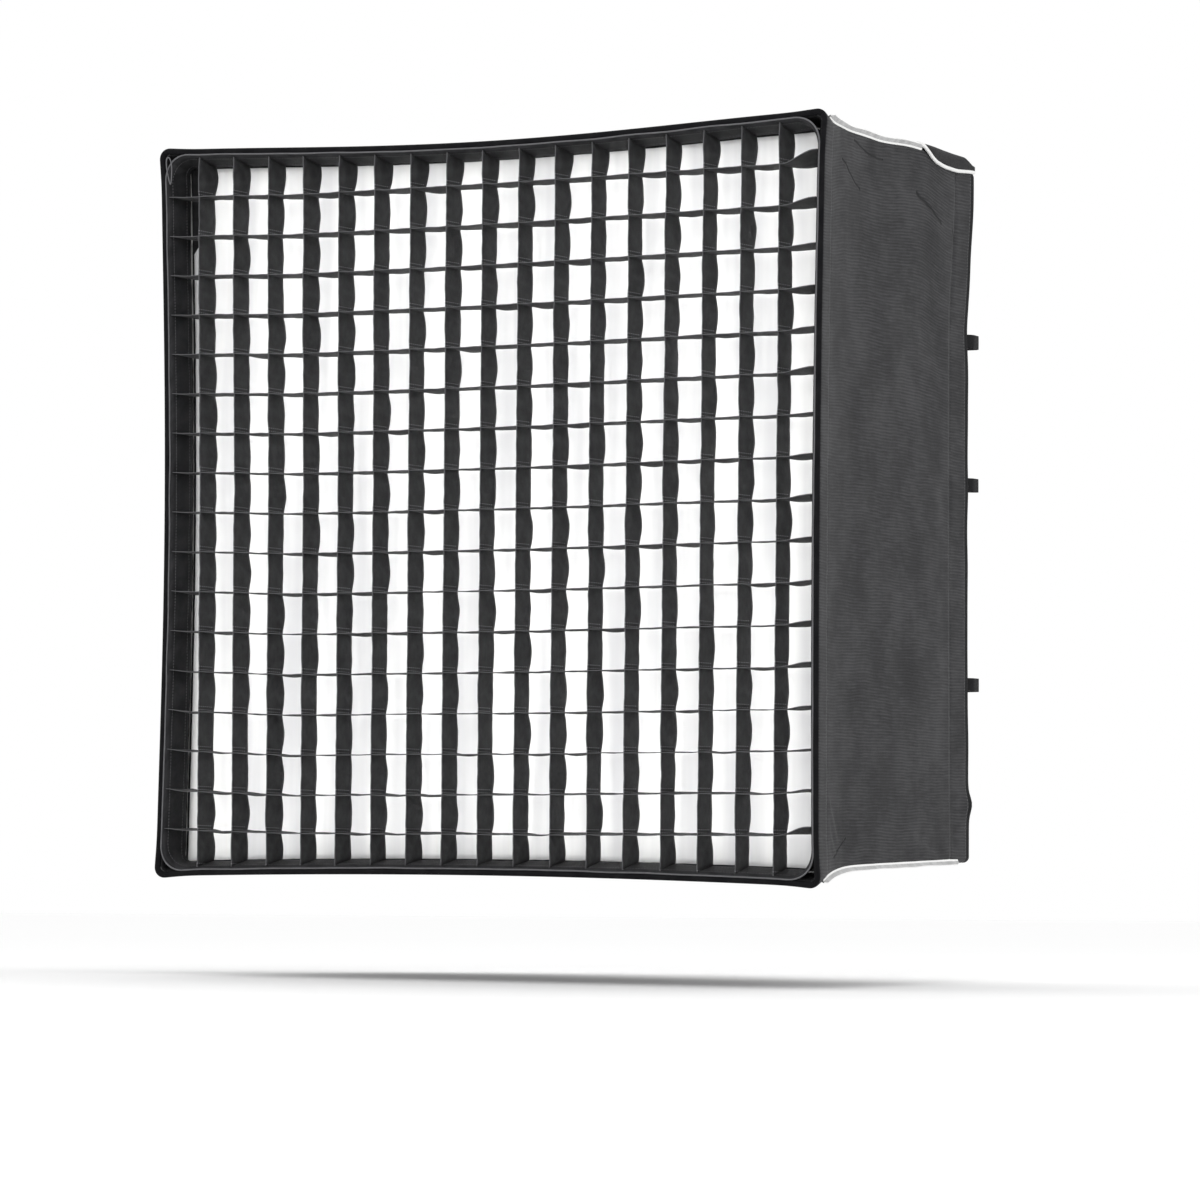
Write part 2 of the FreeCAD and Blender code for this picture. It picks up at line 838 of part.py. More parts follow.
def build():
    for side, angle in SIDES.items():
        outer_panel(side, angle)
        front_hem(side, angle)
        lining(side, angle)
        collar(side, angle)
        rod("front", side, angle)
        rod("rear", side, angle)
        grid_border(side, angle)
    for corner, angle in CORNERS.items():
        corner_stay(corner, angle)
    for end in ROD_STATIONS:
        group(f"{end}_corner_sockets", [socket(end, c, a) for c, a in CORNERS.items()])
    group("corner_seam_tapes", [seam_tape(c, a) for c, a in CORNERS.items()])
    tape("grid_loop_tape", GRID_TAPE, loop_outside, loop_inside)
    tape("grid_hook_tape", GRID_TAPE, hook_outside, hook_inside)
    tape("diffuser_loop_tape", DIFFUSER_TAPE, loop_outside, loop_inside)
    diffuser_hook_tape()
    diffuser_cloth()
    grid_strips()
    grid_edge_piping()
    grid_pull_loop()
    for side, way in (("right", 1), ("left", -1)):
        corner_flap(side, way)
        flap_piping(side, way)
        for level in STRAP_HEIGHTS:
            rear_strap(side, level)
            strap_hook_pad(side, level)


def check():
    """Stop on any object that failed and any sub-part that is not a sound solid."""
    doc.recompute()
    for obj in doc.Objects:
        if "Invalid" in obj.State or "Error" in obj.State:
            raise RuntimeError(f"{obj.Name} did not recompute: {obj.State}")
    for label, obj in sub_parts.items():
        if obj.Shape.isNull() or not obj.Shape.isValid():
            raise RuntimeError(f"{label} has no valid shape")
        if not obj.Shape.Solids:
            raise RuntimeError(f"{label} holds no solid")


def write():
    os.makedirs("parts", exist_ok=True)
    for label, obj in sub_parts.items():
        obj.Shape.exportStep(f"parts/{label}.step")
        volume = obj.Shape.Volume / 1000
        print(f"{label}: {len(obj.Shape.Solids)} solids, {volume:.1f} cm3")


build()
check()
write()
print(f"{len(sub_parts)} sub-parts")
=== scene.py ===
import math
import random

import bmesh
import bpy
import numpy as np
from mathutils import Matrix, Vector, noise

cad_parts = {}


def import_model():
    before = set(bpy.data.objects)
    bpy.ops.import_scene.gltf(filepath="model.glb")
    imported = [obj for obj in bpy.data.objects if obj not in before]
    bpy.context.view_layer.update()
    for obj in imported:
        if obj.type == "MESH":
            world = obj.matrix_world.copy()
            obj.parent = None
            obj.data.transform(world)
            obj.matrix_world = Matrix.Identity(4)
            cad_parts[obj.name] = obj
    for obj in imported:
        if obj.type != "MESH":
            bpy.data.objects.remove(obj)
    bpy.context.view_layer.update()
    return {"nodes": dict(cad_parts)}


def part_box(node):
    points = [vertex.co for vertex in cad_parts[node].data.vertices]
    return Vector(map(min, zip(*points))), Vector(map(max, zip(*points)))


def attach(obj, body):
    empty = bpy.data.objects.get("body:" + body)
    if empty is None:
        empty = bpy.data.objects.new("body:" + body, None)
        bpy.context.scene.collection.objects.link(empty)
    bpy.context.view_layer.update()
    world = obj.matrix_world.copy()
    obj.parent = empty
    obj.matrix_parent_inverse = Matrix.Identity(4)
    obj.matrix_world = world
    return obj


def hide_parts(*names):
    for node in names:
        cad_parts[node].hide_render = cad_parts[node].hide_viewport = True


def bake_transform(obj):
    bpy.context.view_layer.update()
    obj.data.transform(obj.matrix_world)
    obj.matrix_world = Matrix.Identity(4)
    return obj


# Looks for a square studio softbox: a ribbed black shell, a white diffuser and a fabric grid.
# The front faces -Y, +X is to the right and +Z is up, all in metres. A depth is counted
# backwards from the front rim, and an inset inwards from the shell's outer face.

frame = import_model()

# ---- The shell's shape, taken from the CAD nodes where they give it ----

front_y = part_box("outer_panel_top")[0].y
front_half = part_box("outer_panel_top")[1].z
rear_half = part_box("collar_top")[1].z
SEAT_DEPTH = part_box("collar_top")[0].y - front_y
REAR_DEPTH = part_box("collar_top")[1].y - front_y

# how the sides' slope eases from front to back, how far they bow in, and their corners
FLARE_START = 0.045
FLARE_END = 0.155
FRONT_SLOPE = 0.215
BACK_SLOPE = (front_half - FRONT_SLOPE * 0.1 - rear_half) / (SEAT_DEPTH - 0.1)
FRONT_SAG = 0.010
REAR_SAG = 0.002
SAG_REACH = 0.170
FRONT_CORNER = 0.0160
REAR_CORNER = 0.008

# thicknesses, and radii of cords
CLOTH = 0.0012
LINING = 0.0008
GRID_CLOTH = 0.0009
DIFFUSER = 0.0006
BINDING = 0.0007
TAPE = 0.0008
SEAM_TAPE = 0.0005
WEBBING = 0.0015
HOOK_PAD = 0.0011
GREY_CORD = 0.0010
LOOP_CORD = 0.0008
WHITE_CORD = 0.0025

# depths, insets and sizes of the sewn parts
HEM_RADIUS = 0.0043
HEM_INSET = 2 * HEM_RADIUS
HEM_DEPTH = 0.0445
HEM_STITCH = 0.0425
LINING_START = 0.0455
LIP_INSET = 0.0094
RIM_WIDTH = 0.010
TURNED_EDGE = 0.0017
GRID_TAPE_DEPTH = 0.008
DIFFUSER_TAPE_DEPTH = 0.049
TAPE_WIDTH = 0.020
LOOP_INSET = 0.0095
HOOK_INSET = 0.0106
BORDER_INSET = 0.0115
BINDING_WIDTH = 0.0030
DIFFUSER_DEPTH = 0.0468
GRID_FRONT = 0.003
GRID_BACK = 0.041
GRID_CORNER = 0.036
FLARE = 0.0028
CELL_PITCH = 0.0536
STRIPS_EACH_WAY = 8
SEAM_TAPE_START = 0.027
SEAM_TAPE_REACH = 0.0068
FLAP_FRONT = 0.381
FLAP_DROP = 0.020
FLAP_BEND = 0.0065
FLAP_CLEAR = 0.0010
FLAP_OVERLAP = 0.014
FLAP_PUFF = 0.0222
STRAP_HEIGHTS = {"upper": 0.52, "middle": 0.10, "lower": -0.483}
STRAP_WIDTH = 0.018
STRAP_BEND = 0.006
PAD_WIDTH = 0.016

# how far each side's front is drawn in at its middle, and how flat its ends stay
SIDE_SAG = {0: (0.0135, 1.8), 90: (0.003, 1.2), 180: (0.0075, 1.1), 270: (0.009, 1.5)}
# how far each front corner is pulled right and up, by its side: right or left, top or bottom
CORNER_PULL = {(1, 1): (0.004, -0.0075), (1, -1): (-0.005, -0.002),
               (-1, -1): (-0.004, 0.0090), (-1, 1): (-0.004, 0.001)}
CORNER_SWELL = 0.003
CORNER_REACH = 0.07
# how far the rear top corners stand out and up
EAR_OUT = 0.0075
EAR_UP = 0.0060
# rods and their sockets
ROD_INSET = 0.0054
ROD_DEPTH = 0.006
ROD_RADIUS = 0.00175
SOCKET_RADIUS = 0.0027
SOCKET_LENGTH = 0.026

SIDES = {"top": 0, "right": 90, "bottom": 180, "left": 270}
CORNERS = {"top_right": 0, "bottom_right": 90, "bottom_left": 180, "top_left": 270}


def ease(value):
    """A smooth step from 0 to 1."""
    value = min(1.0, max(0.0, value))
    return value * value * (3 - 2 * value)


def half_size(depth):
    """Half the shell's outer width at a depth."""
    if depth < FLARE_START:
        return front_half - FRONT_SLOPE * depth
    run = min(depth, FLARE_END) - FLARE_START
    bend = (FRONT_SLOPE - BACK_SLOPE) / (2 * (FLARE_END - FLARE_START))
    half = front_half - FRONT_SLOPE * FLARE_START - FRONT_SLOPE * run + bend * run * run
    if depth > FLARE_END:
        half -= BACK_SLOPE * (min(depth, SEAT_DEPTH) - FLARE_END)
    return half


def sag(depth):
    """How far the middle of each side is drawn in at a depth."""
    return FRONT_SAG + (REAR_SAG - FRONT_SAG) * ease(depth / SAG_REACH)


def corner_radius(depth):
    """The radius of the shell's corners at a depth."""
    return FRONT_CORNER + (REAR_CORNER - FRONT_CORNER) * ease(depth / FLARE_END)


class Outline:
    """A square with bowed sides and round corners, at a depth and an inset. Each side is
    followed from corner seam to corner seam."""

    def __init__(self, depth, inset, radius=None):
        """Measure the outline. A radius overrules the shell's own."""
        self.half = half_size(depth) - inset
        self.radius = max(0.001, corner_radius(depth) - inset) if radius is None else radius
        self.sag = sag(depth)
        self.straight = self.half - self.radius
        self.seam = self.half - self.radius * (1 - math.sqrt(0.5))

    def bow(self, along):
        """How far the side is drawn in at a distance from its middle."""
        share = along / self.seam
        return self.sag * (1 - share * share)

    def place(self, step):
        """Along, across, and the outward direction, at a step of a side."""
        share, turn = step
        if turn == 0.0:
            along = share * self.straight
            return along, self.half - self.bow(along), (0.0, 1.0)
        along = math.copysign(self.straight + self.radius * math.sin(turn), share)
        across = self.half - self.radius * (1 - math.cos(turn)) - self.bow(along)
        return along, across, (math.copysign(math.sin(turn), share), math.cos(turn))

    def run(self, step):
        """The distance along the cloth from the side's middle."""
        share, turn = step
        return share * self.straight + math.copysign(self.radius * turn, share)


def side_steps(count, corner_steps=5):
    """Where a side is divided: pairs of a share of the straight part and a turn of the corner."""
    turns = [math.pi / 4 * k / corner_steps for k in range(1, corner_steps + 1)]
    steps = [(-1.0, turn) for turn in reversed(turns)]
    steps += [(2.0 * k / count - 1.0, 0.0) for k in range(count + 1)]
    steps += [(1.0, turn) for turn in turns]
    return steps


def bow_change(angle, along, depth):
    """How much more a side is drawn in here than the plain outline says."""
    amount, flatness = SIDE_SAG[angle % 360]
    share = max(0.0, 1 - (along / half_size(depth)) ** 2)
    front = 1 - ease(depth / SAG_REACH)
    return (amount * share ** flatness - FRONT_SAG * share) * front


def to_side(angle, along, across, depth):
    """A point drawn for the top side, turned clockwise to its own side."""
    across -= bow_change(angle, along, depth)
    a = math.radians(angle)
    x = along * math.cos(a) + across * math.sin(a)
    z = across * math.cos(a) - along * math.sin(a)
    return Vector((x, front_y + depth, z))


def ear_rise(depth):
    """How far the rear top corners stand up, at a depth."""
    return EAR_UP * ease((depth - 0.34) / 0.15)


def settled(point, raised):
    """A point after the front's corners are pulled out of square. Raised cloth is also pushed
    up in front of the rear top corners."""
    x, y, z = point
    depth = y - front_y
    right, up = x / front_half, z / front_half
    front = 1 - ease(depth / 0.20)
    away = math.hypot(1 - abs(right), 1 - abs(up)) / CORNER_REACH
    swell = CORNER_SWELL * math.exp(-away * away) * (1 - ease(depth / 0.12))
    new_x, new_z = x + math.copysign(swell, x), z + math.copysign(swell, z)
    for (side_x, side_z), (pull_x, pull_z) in CORNER_PULL.items():
        share = max(0.0, (1 + side_x * right) / 2) * max(0.0, (1 + side_z * up) / 2) * front
        new_x += pull_x * share
        new_z += pull_z * share
    ear = EAR_OUT * ease((depth - 0.25) / 0.20) * ease((up - 0.5) / 0.4)
    ear *= ease((abs(right) - 0.5) / 0.4)
    new_x += math.copysign(ear, x)
    new_z += ear_rise(depth) * ease((up - 0.72) / 0.20) * ease((abs(right) - 0.70) / 0.24)
    if raised:
        rise = 0.0090 * ease((depth - 0.006) / 0.10) + 0.0080 * ease((depth - 0.21) / 0.13)
        new_z += rise * ease((SEAT_DEPTH - 0.010 - depth) / 0.10) * ease(z / 0.40)
    return new_x, y, new_z


def spread(start, end, step):
    """Evenly spaced numbers from start to end, about a step apart."""
    count = max(1, round(abs(end - start) / step))
    return [start + (end - start) * k / count for k in range(count + 1)]


def ripple(*place):
    """Smooth noise from about -1 to 1, always the same at the same place."""
    return noise.noise(Vector(place)) * 1.6


# ---- Meshes ----


def surface(name, points, uvs, material, thickness=0.0, offset=-1.0, wrap=False, raised=False):
    """A sheet through rows of points, with its UV map in metres of cloth. With wrap, the end
    of each row joins its start, and each row of UVs has one more place."""
    rows, columns = len(points), len(points[0])
    faces = []
    corners = []
    for i in range(rows - 1):
        for j in range(columns if wrap else columns - 1):
            k = (j + 1) % columns
            near, far = i * columns, (i + 1) * columns
            faces.append((near + j, near + k, far + k, far + j))
            corners += [uvs[i][j], uvs[i][j + 1], uvs[i + 1][j + 1], uvs[i + 1][j]]
    mesh = bpy.data.meshes.new(name)
    mesh.from_pydata([settled(p, raised) for row in points for p in row], [], faces)
    layer = mesh.uv_layers.new(name="cloth_metres")
    layer.data.foreach_set("uv", np.array(corners, np.float32).ravel())
    mesh.polygons.foreach_set("use_smooth", [True] * len(faces))
    mesh.materials.append(material)
    mesh.update()
    obj = bpy.data.objects.new(name, mesh)
    bpy.context.scene.collection.objects.link(obj)
    if thickness:
        solid = obj.modifiers.new("thickness", "SOLIDIFY")
        solid.thickness = thickness
        solid.offset = offset
    return obj


def joined(name, objects):
    """Several meshes as one object."""
    mesh = bpy.data.meshes.new(name)
    obj = bpy.data.objects.new(name, mesh)
    bpy.context.scene.collection.objects.link(obj)
    bm = bmesh.new()
    for part in objects:
        evaluated = part.evaluated_get(bpy.context.evaluated_depsgraph_get())
        bm.from_mesh(bpy.data.meshes.new_from_object(evaluated))
    bm.to_mesh(mesh)
    bm.free()
    for material in objects[0].data.materials:
        mesh.materials.append(material)
    for part in objects:
        bpy.data.objects.remove(part)
    return obj


def tube(name, points, radius, material, closed=False, sides=8):
    """A cord through points."""
    line = [Vector(p) for p in points]
    count = len(line)
    reference = Vector((0.31, 0.22, 0.93)).normalized()
    rings = []
    uvs = []
    length = 0.0
    for i, here in enumerate(line):
        after = line[(i + 1) % count] if closed else line[min(i + 1, count - 1)]
        before = line[i - 1] if closed or i else here
        along = (after - before).normalized()
        first = along.cross(reference).normalized()
        reference = first.cross(along).normalized()
        ring = []
        for k in range(sides):
            turn = 2 * math.pi * k / sides
            swing = radius * (math.cos(turn) * first + math.sin(turn) * reference)
            ring.append(here + swing)
        rings.append(ring)
        uvs.append([(length, 2 * math.pi * radius * k / sides) for k in range(sides + 1)])
        length += (after - here).length
    if closed:
        rings.append(rings[0])
        uvs.append([(length, v) for _, v in uvs[0]])
    obj = surface(name, rings, uvs, material, wrap=True)
    bm = bmesh.new()
    bm.from_mesh(obj.data)
    if closed:
        bmesh.ops.remove_doubles(bm, verts=bm.verts, dist=1e-7)
    else:
        bmesh.ops.holes_fill(bm, edges=bm.edges)
    bmesh.ops.recalc_face_normals(bm, faces=bm.faces)
    bm.to_mesh(obj.data)
    bm.free()
    return obj


def finish_piece(obj, body, replaced):
    """Tie a piece to its body, and hide the CAD nodes that it stands for."""
    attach(obj, body)
    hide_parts(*replaced)


# ---- Materials ----


class Nodes:
    """A small builder for one material's node tree."""

    def __init__(self, name, colour, roughness, **shader):
        """A material with a plain shader, whose other inputs are given by name."""
        self.material = bpy.data.materials.new(name)
        self.material.use_nodes = True
        self.tree = self.material.node_tree
        self.shader = self.tree.nodes["Principled BSDF"]
        self.shader.inputs["Base Color"].default_value = (*colour, 1)
        self.shader.inputs["Roughness"].default_value = roughness
        for socket, value in shader.items():
            self.shader.inputs[socket.replace("_", " ")].default_value = value
        self.height = None

    def add(self, kind, **settings):
        """A new node, with its properties and inputs set by name."""
        node = self.tree.nodes.new(kind)
        for key, value in settings.items():
            if key in node.bl_rna.properties:
                setattr(node, key, value)
            else:
                node.inputs[key.replace("_", " ")].default_value = value
        return node

    def link(self, start, end):
        """Join an output to an input."""
        self.tree.links.new(start, end)

    def math(self, operation, first, second=None, third=None):
        """A math node's result for sockets or numbers."""
        node = self.add("ShaderNodeMath", operation=operation)
        for socket, value in zip(node.inputs, (first, second, third)):
            if isinstance(value, (int, float)):
                socket.default_value = value
            elif value is not None:
                self.link(value, socket)
        return node.outputs[0]

    def times(self, first, second):
        """The product of two sockets or numbers."""
        return self.math("MULTIPLY", first, second)

    def cloth(self):
        """The two distances along the cloth, in metres, and both as a vector."""
        uv = self.add("ShaderNodeUVMap", uv_map="cloth_metres").outputs[0]
        split = self.add("ShaderNodeSeparateXYZ")
        self.link(uv, split.inputs[0])
        return split.outputs[0], split.outputs[1], uv

    def noise(self, vector, scale, detail=2.0, roughness=0.5):
        """Smooth noise over a place, from 0 to 1."""
        node = self.add("ShaderNodeTexNoise", Scale=scale, Detail=detail, Roughness=roughness)
        self.link(vector, node.inputs["Vector"])
        return node.outputs[0]

    def ramp(self, value, low, high, first, last):
        """The value mapped from low-high to first-last, smoothly, and held outside."""
        node = self.add("ShaderNodeMapRange", interpolation_type="SMOOTHSTEP")
        self.link(value, node.inputs[0])
        for socket, number in zip(node.inputs[1:5], (low, high, first, last)):
            socket.default_value = number
        return node.outputs[0]

    def threads(self, place, pitch):
        """Rounded threads across a distance, from 0 to 1."""
        turn = self.times(place, 2 * math.pi / pitch)
        return self.math("MULTIPLY_ADD", self.math("SINE", turn), 0.5, 0.5)

    def weave(self, across, back, pitch):
        """Threads both ways."""
        return self.times(self.threads(across, pitch), self.threads(back, pitch))

    def dashes(self, place, pitch, share):
        """1 on each dash of a row, and 0 between."""
        part = self.math("FRACT", self.math("DIVIDE", place, pitch))
        return self.math("LESS_THAN", part, share)

    def line(self, place, at, width):
        """1 within half a width of a place, and 0 elsewhere."""
        away = self.math("ABSOLUTE", self.math("SUBTRACT", place, at))
        return self.math("LESS_THAN", away, width / 2)

    def crease(self, place, start, end, width):
        """1 on a straight line between two places on the cloth, fading out to its sides."""
        run = Vector((*end, 0)) - Vector((*start, 0))
        ahead = run.normalized()
        away = self.add("ShaderNodeVectorMath", operation="SUBTRACT")
        self.link(place, away.inputs[0])
        away.inputs[1].default_value = (*start, 0)
        along = self.add("ShaderNodeVectorMath", operation="DOT_PRODUCT")
        self.link(away.outputs[0], along.inputs[0])
        along.inputs[1].default_value = ahead
        held = self.math("MINIMUM", self.math("MAXIMUM", along.outputs[1], 0.0), run.length)
        nearest = self.add("ShaderNodeVectorMath", operation="SCALE")
        nearest.inputs[0].default_value = ahead
        self.link(held, nearest.inputs[3])
        distance = self.add("ShaderNodeVectorMath", operation="DISTANCE")
        self.link(away.outputs[0], distance.inputs[0])
        self.link(nearest.outputs[0], distance.inputs[1])
        return self.ramp(distance.outputs[1], 0.0, width, 1.0, 0.0)

    def raise_by(self, value, amount):
        """Add to the height that becomes the bump, in metres."""
        part = self.times(value, amount)
        self.height = part if self.height is None else self.math("ADD", self.height, part)

    def bumped(self, strength, *reliefs):
        """The material, with patterns and their heights turned into the shader's normal."""
        for value, amount in reliefs:
            self.raise_by(value, amount)
        node = self.add("ShaderNodeBump", Strength=strength, Distance=1.0)
        self.link(self.height, node.inputs["Height"])
        self.normal = node.outputs[0]
        self.link(self.normal, self.shader.inputs["Normal"])
        return self.material

    def colours(self, factor, first, second):
        """A mix of two colours."""
        node = self.add("ShaderNodeMix", data_type="RGBA")
        self.link(factor, node.inputs[0])
        for socket, colour in ((node.inputs[6], first), (node.inputs[7], second)):
            if isinstance(colour, tuple):
                socket.default_value = (*colour, 1)
            else:
                self.link(colour, socket)
        return node.outputs[2]

    def tones(self, pattern, dark, light):
        """A mix of two colours by the middle part of a noise."""
        return self.colours(self.ramp(pattern, 0.3, 0.7, 0, 1), dark, light)

    def paint(self, colour):
        """Set the base colour from a socket."""
        self.link(colour, self.shader.inputs["Base Color"])

    def roughen(self, pattern, low, high, start=0.3, end=0.7):
        """Roughness from low to high, by a noise."""
        self.link(self.ramp(pattern, start, end, low, high), self.shader.inputs["Roughness"])


def shell_material(name, crease_shade_lines=()):
    """Black nylon with fine ribs that run backwards, a painted highlight on each rib, hem stitches,
    and painted shade along each sharp crease.
    """
    n = Nodes(name, (0.02, 0.02, 0.021), 0.66, Sheen_Weight=0.03, Sheen_Roughness=0.4,
              Specular_IOR_Level=0.20)
    across, back, uv = n.cloth()
    drift = n.noise(uv, 9.0, 3.0)
    wander = n.math("MULTIPLY_ADD", drift, 0.010, across)
    ribs = n.threads(wander, 0.0040)
    weave = n.weave(across, back, 0.0009)
    stretch = n.add("ShaderNodeMapping", Scale=(330.0, 26.0, 1.0))
    n.link(uv, stretch.inputs[0])
    slubs = n.noise(stretch.outputs[0], 1.0, 3.0, 0.6)
    patches = n.noise(uv, 11.0, 5.0, 0.62)
    shade = n.math("ADD", n.times(slubs, 0.5), n.times(patches, 0.5))
    tone = n.ramp(shade, 0.40, 0.62, 0, 1)
    base = n.colours(tone, (0.008, 0.008, 0.009), (0.025, 0.025, 0.027))
    # painted highlight: ridge is a lighter copy of the base colour, laid on the top of each rib by
    # the ribs pattern
    ridge = n.colours(tone, (0.016, 0.016, 0.018), (0.046, 0.046, 0.049))
    lit = n.colours(ribs, base, ridge)
    hem = n.math("GREATER_THAN", back, REAR_DEPTH - 0.012)
    lit = n.colours(hem, lit, (0.009, 0.009, 0.010))
    rows = n.math("MAXIMUM", n.line(back, HEM_STITCH, 0.0012),
                  n.line(back, REAR_DEPTH - 0.013, 0.0011))
    thread = n.times(rows, n.dashes(across, 0.0045, 0.62))
    colour = n.colours(thread, lit, (0.10, 0.10, 0.105))
    if crease_shade_lines:
        bend = n.add("ShaderNodeTexNoise", Scale=16.0, Detail=2.0)
        n.link(uv, bend.inputs["Vector"])
        wavy = n.add("ShaderNodeVectorMath", operation="MULTIPLY_ADD")
        n.link(bend.outputs[1], wavy.inputs[0])
        wavy.inputs[1].default_value = (0.016, 0.016, 0.0)
        n.link(uv, wavy.inputs[2])
        total = None
        for start, end, width in crease_shade_lines:
            shifted = [(value[0] + 0.008, value[1] + 0.008) for value in (start, end)]
            one = n.crease(wavy.outputs[0], *shifted, width)
            total = one if total is None else n.math("MAXIMUM", total, one)
        # painted shade: a near-black line along each crease, standing in for the shade in the
        # fold's hollow
        colour = n.colours(total, colour, (0.003, 0.003, 0.004))
        n.raise_by(total, -0.0010)
    n.paint(colour)
    n.roughen(n.math("ADD", slubs, weave), 0.54, 0.76, 0.3, 1.2)
    return n.bumped(0.8, (ribs, 0.00026), (weave, 0.00006), (slubs, 0.00036),
                    (patches, 0.0016), (thread, 0.0004))


def black_material(name, dark, light, rows=(), gloss=0.20):
    """Plain woven black cloth. Rows are depths of stitching."""
    n = Nodes(name, dark, 0.7, Sheen_Weight=0.03, Sheen_Roughness=0.45, Specular_IOR_Level=gloss)
    across, back, uv = n.cloth()
    weave = n.weave(across, back, 0.0011)
    patches = n.noise(uv, 35.0, 4.0, 0.65)
    colour = n.tones(patches, dark, light)
    fibres = n.noise(uv, 900.0, 2.0)
    for row in rows:
        thread = n.times(n.line(back, row, 0.0010), n.dashes(across, 0.0042, 0.6))
        colour = n.colours(thread, colour, (0.12, 0.12, 0.125))
        n.raise_by(thread, 0.0004)
    n.paint(colour)
    n.roughen(fibres, 0.55, 0.82)
    return n.bumped(0.8, (weave, 0.00012), (patches, 0.0007), (fibres, 0.00010))


def grid_material(stitched):
    """The grid's stiffened cloth, with a painted highlight along its front edges. Upright strips
    have two rows of stitches above each crossing."""
    name = "grid_cloth_stitched" if stitched else "grid_cloth_plain"
    n = Nodes(name, (0.02, 0.02, 0.021), 0.7, Sheen_Weight=0.04, Sheen_Roughness=0.5,
              Specular_IOR_Level=0.20)
    across, back, uv = n.cloth()
    weave = n.weave(across, back, 0.0010)
    patches = n.noise(uv, 60.0, 4.0, 0.6)
    colour = n.tones(patches, (0.016, 0.016, 0.017), (0.046, 0.046, 0.048))
    # painted highlight: a pale band along each strip's front edge, where the edge catches the light
    edge = n.line(back, 0.0, 0.0020)
    colour = n.colours(edge, colour, (0.10, 0.10, 0.105))
    if stitched:
        ahead = n.math("ADD", across, 40 * CELL_PITCH)
        height = n.math("FRACT", n.math("DIVIDE", ahead, CELL_PITCH))
        rows = n.math("MAXIMUM", n.line(height, 0.055, 0.022), n.line(height, 0.135, 0.022))
        wide = n.math("LESS_THAN", back, 0.034)
        thread = n.times(n.times(rows, wide), n.dashes(back, 0.0048, 0.5))
        colour = n.colours(thread, colour, (0.20, 0.20, 0.21))
        n.raise_by(thread, 0.0004)
    n.paint(colour)
    n.roughen(patches, 0.6, 0.8)
    return n.bumped(0.8, (weave, 0.00010), (patches, 0.0010))


def lining_material():
    """White woven cloth, a little uneven in tone."""
    n = Nodes("lining_cloth", (0.88, 0.88, 0.87), 0.75, Sheen_Weight=0.1, Sheen_Roughness=0.5)
    across, back, uv = n.cloth()
    weave = n.weave(across, back, 0.0010)
    patches = n.noise(uv, 22.0, 4.0, 0.6)
    tone = n.math("ADD", n.times(weave, 0.4), n.times(patches, 0.6))
    n.paint(n.colours(n.ramp(tone, 0.2, 0.75, 0, 1), (0.78, 0.78, 0.77), (0.88, 0.88, 0.87)))
    n.roughen(patches, 0.65, 0.85)
    return n.bumped(0.7, (weave, 0.00012), (patches, 0.0008))


def fin_material():
    """White tape folded over: bright at its sewn feet and at its fold, with painted shade between.
    """
    n = Nodes("seam_tape_cloth", (0.85, 0.85, 0.84), 0.75, Sheen_Weight=0.1, Sheen_Roughness=0.5)
    across, back, uv = n.cloth()
    weave = n.weave(across, back, 0.0014)
    streaks = n.noise(uv, 60.0, 4.0, 0.6)
    up = n.math("PINGPONG", across, 0.011)
    foot = n.math("LESS_THAN", up, 0.0046)
    fold = n.math("GREATER_THAN", up, 0.0093)
    # painted shade: the tape's middle, which faces down, is painted grey instead of its own white
    tape_shade = n.tones(streaks, (0.36, 0.36, 0.36), (0.52, 0.52, 0.52))
    n.paint(n.colours(n.math("MAXIMUM", foot, fold), tape_shade, (0.90, 0.90, 0.89)))
    n.roughen(streaks, 0.65, 0.85)
    return n.bumped(0.7, (weave, 0.00020), (streaks, 0.0006))


def diffuser_material():
    """Thin white cloth that lets the lamp's light through, with streaks of painted shade along its
    folds.
    """
    n = Nodes("diffuser_cloth", (0.90, 0.90, 0.90), 0.8)
    across, back, uv = n.cloth()
    stretch = n.add("ShaderNodeMapping", Scale=(26.0, 1.6, 1.0))
    n.link(uv, stretch.inputs[0])
    streaks = n.noise(stretch.outputs[0], 1.0, 3.0, 0.55)
    weave = n.weave(across, back, 0.0009)
    # painted shade: darker upright streaks that follow the cloth's folds
    colour = n.tones(streaks, (0.80, 0.80, 0.805), (0.93, 0.93, 0.925))
    n.paint(colour)
    material = n.bumped(0.6, (streaks, 0.0012), (weave, 0.00008))
    through = n.add("ShaderNodeBsdfTranslucent")
    n.link(colour, through.inputs["Color"])
    n.link(n.normal, through.inputs["Normal"])
    both = n.add("ShaderNodeMixShader", Fac=0.5)
    n.link(n.shader.outputs[0], both.inputs[1])
    n.link(through.outputs[0], both.inputs[2])
    n.link(both.outputs[0], n.tree.nodes["Material Output"].inputs["Surface"])
    return material


def webbing_material():
    """Nylon webbing, with chevrons along it."""
    n = Nodes("strap_webbing", (0.004, 0.004, 0.005), 0.6, Sheen_Weight=0.02,
              Sheen_Roughness=0.4, Specular_IOR_Level=0.15)
    across, back, uv = n.cloth()
    folded = n.math("PINGPONG", across, 0.005)
    chevrons = n.threads(n.math("ADD", back, folded), 0.0022)
    fibres = n.noise(uv, 700.0, 2.0)
    n.paint(n.colours(chevrons, (0.004, 0.004, 0.005), (0.013, 0.013, 0.014)))
    n.roughen(fibres, 0.5, 0.75)
    return n.bumped(0.8, (chevrons, 0.00030), (fibres, 0.00015))


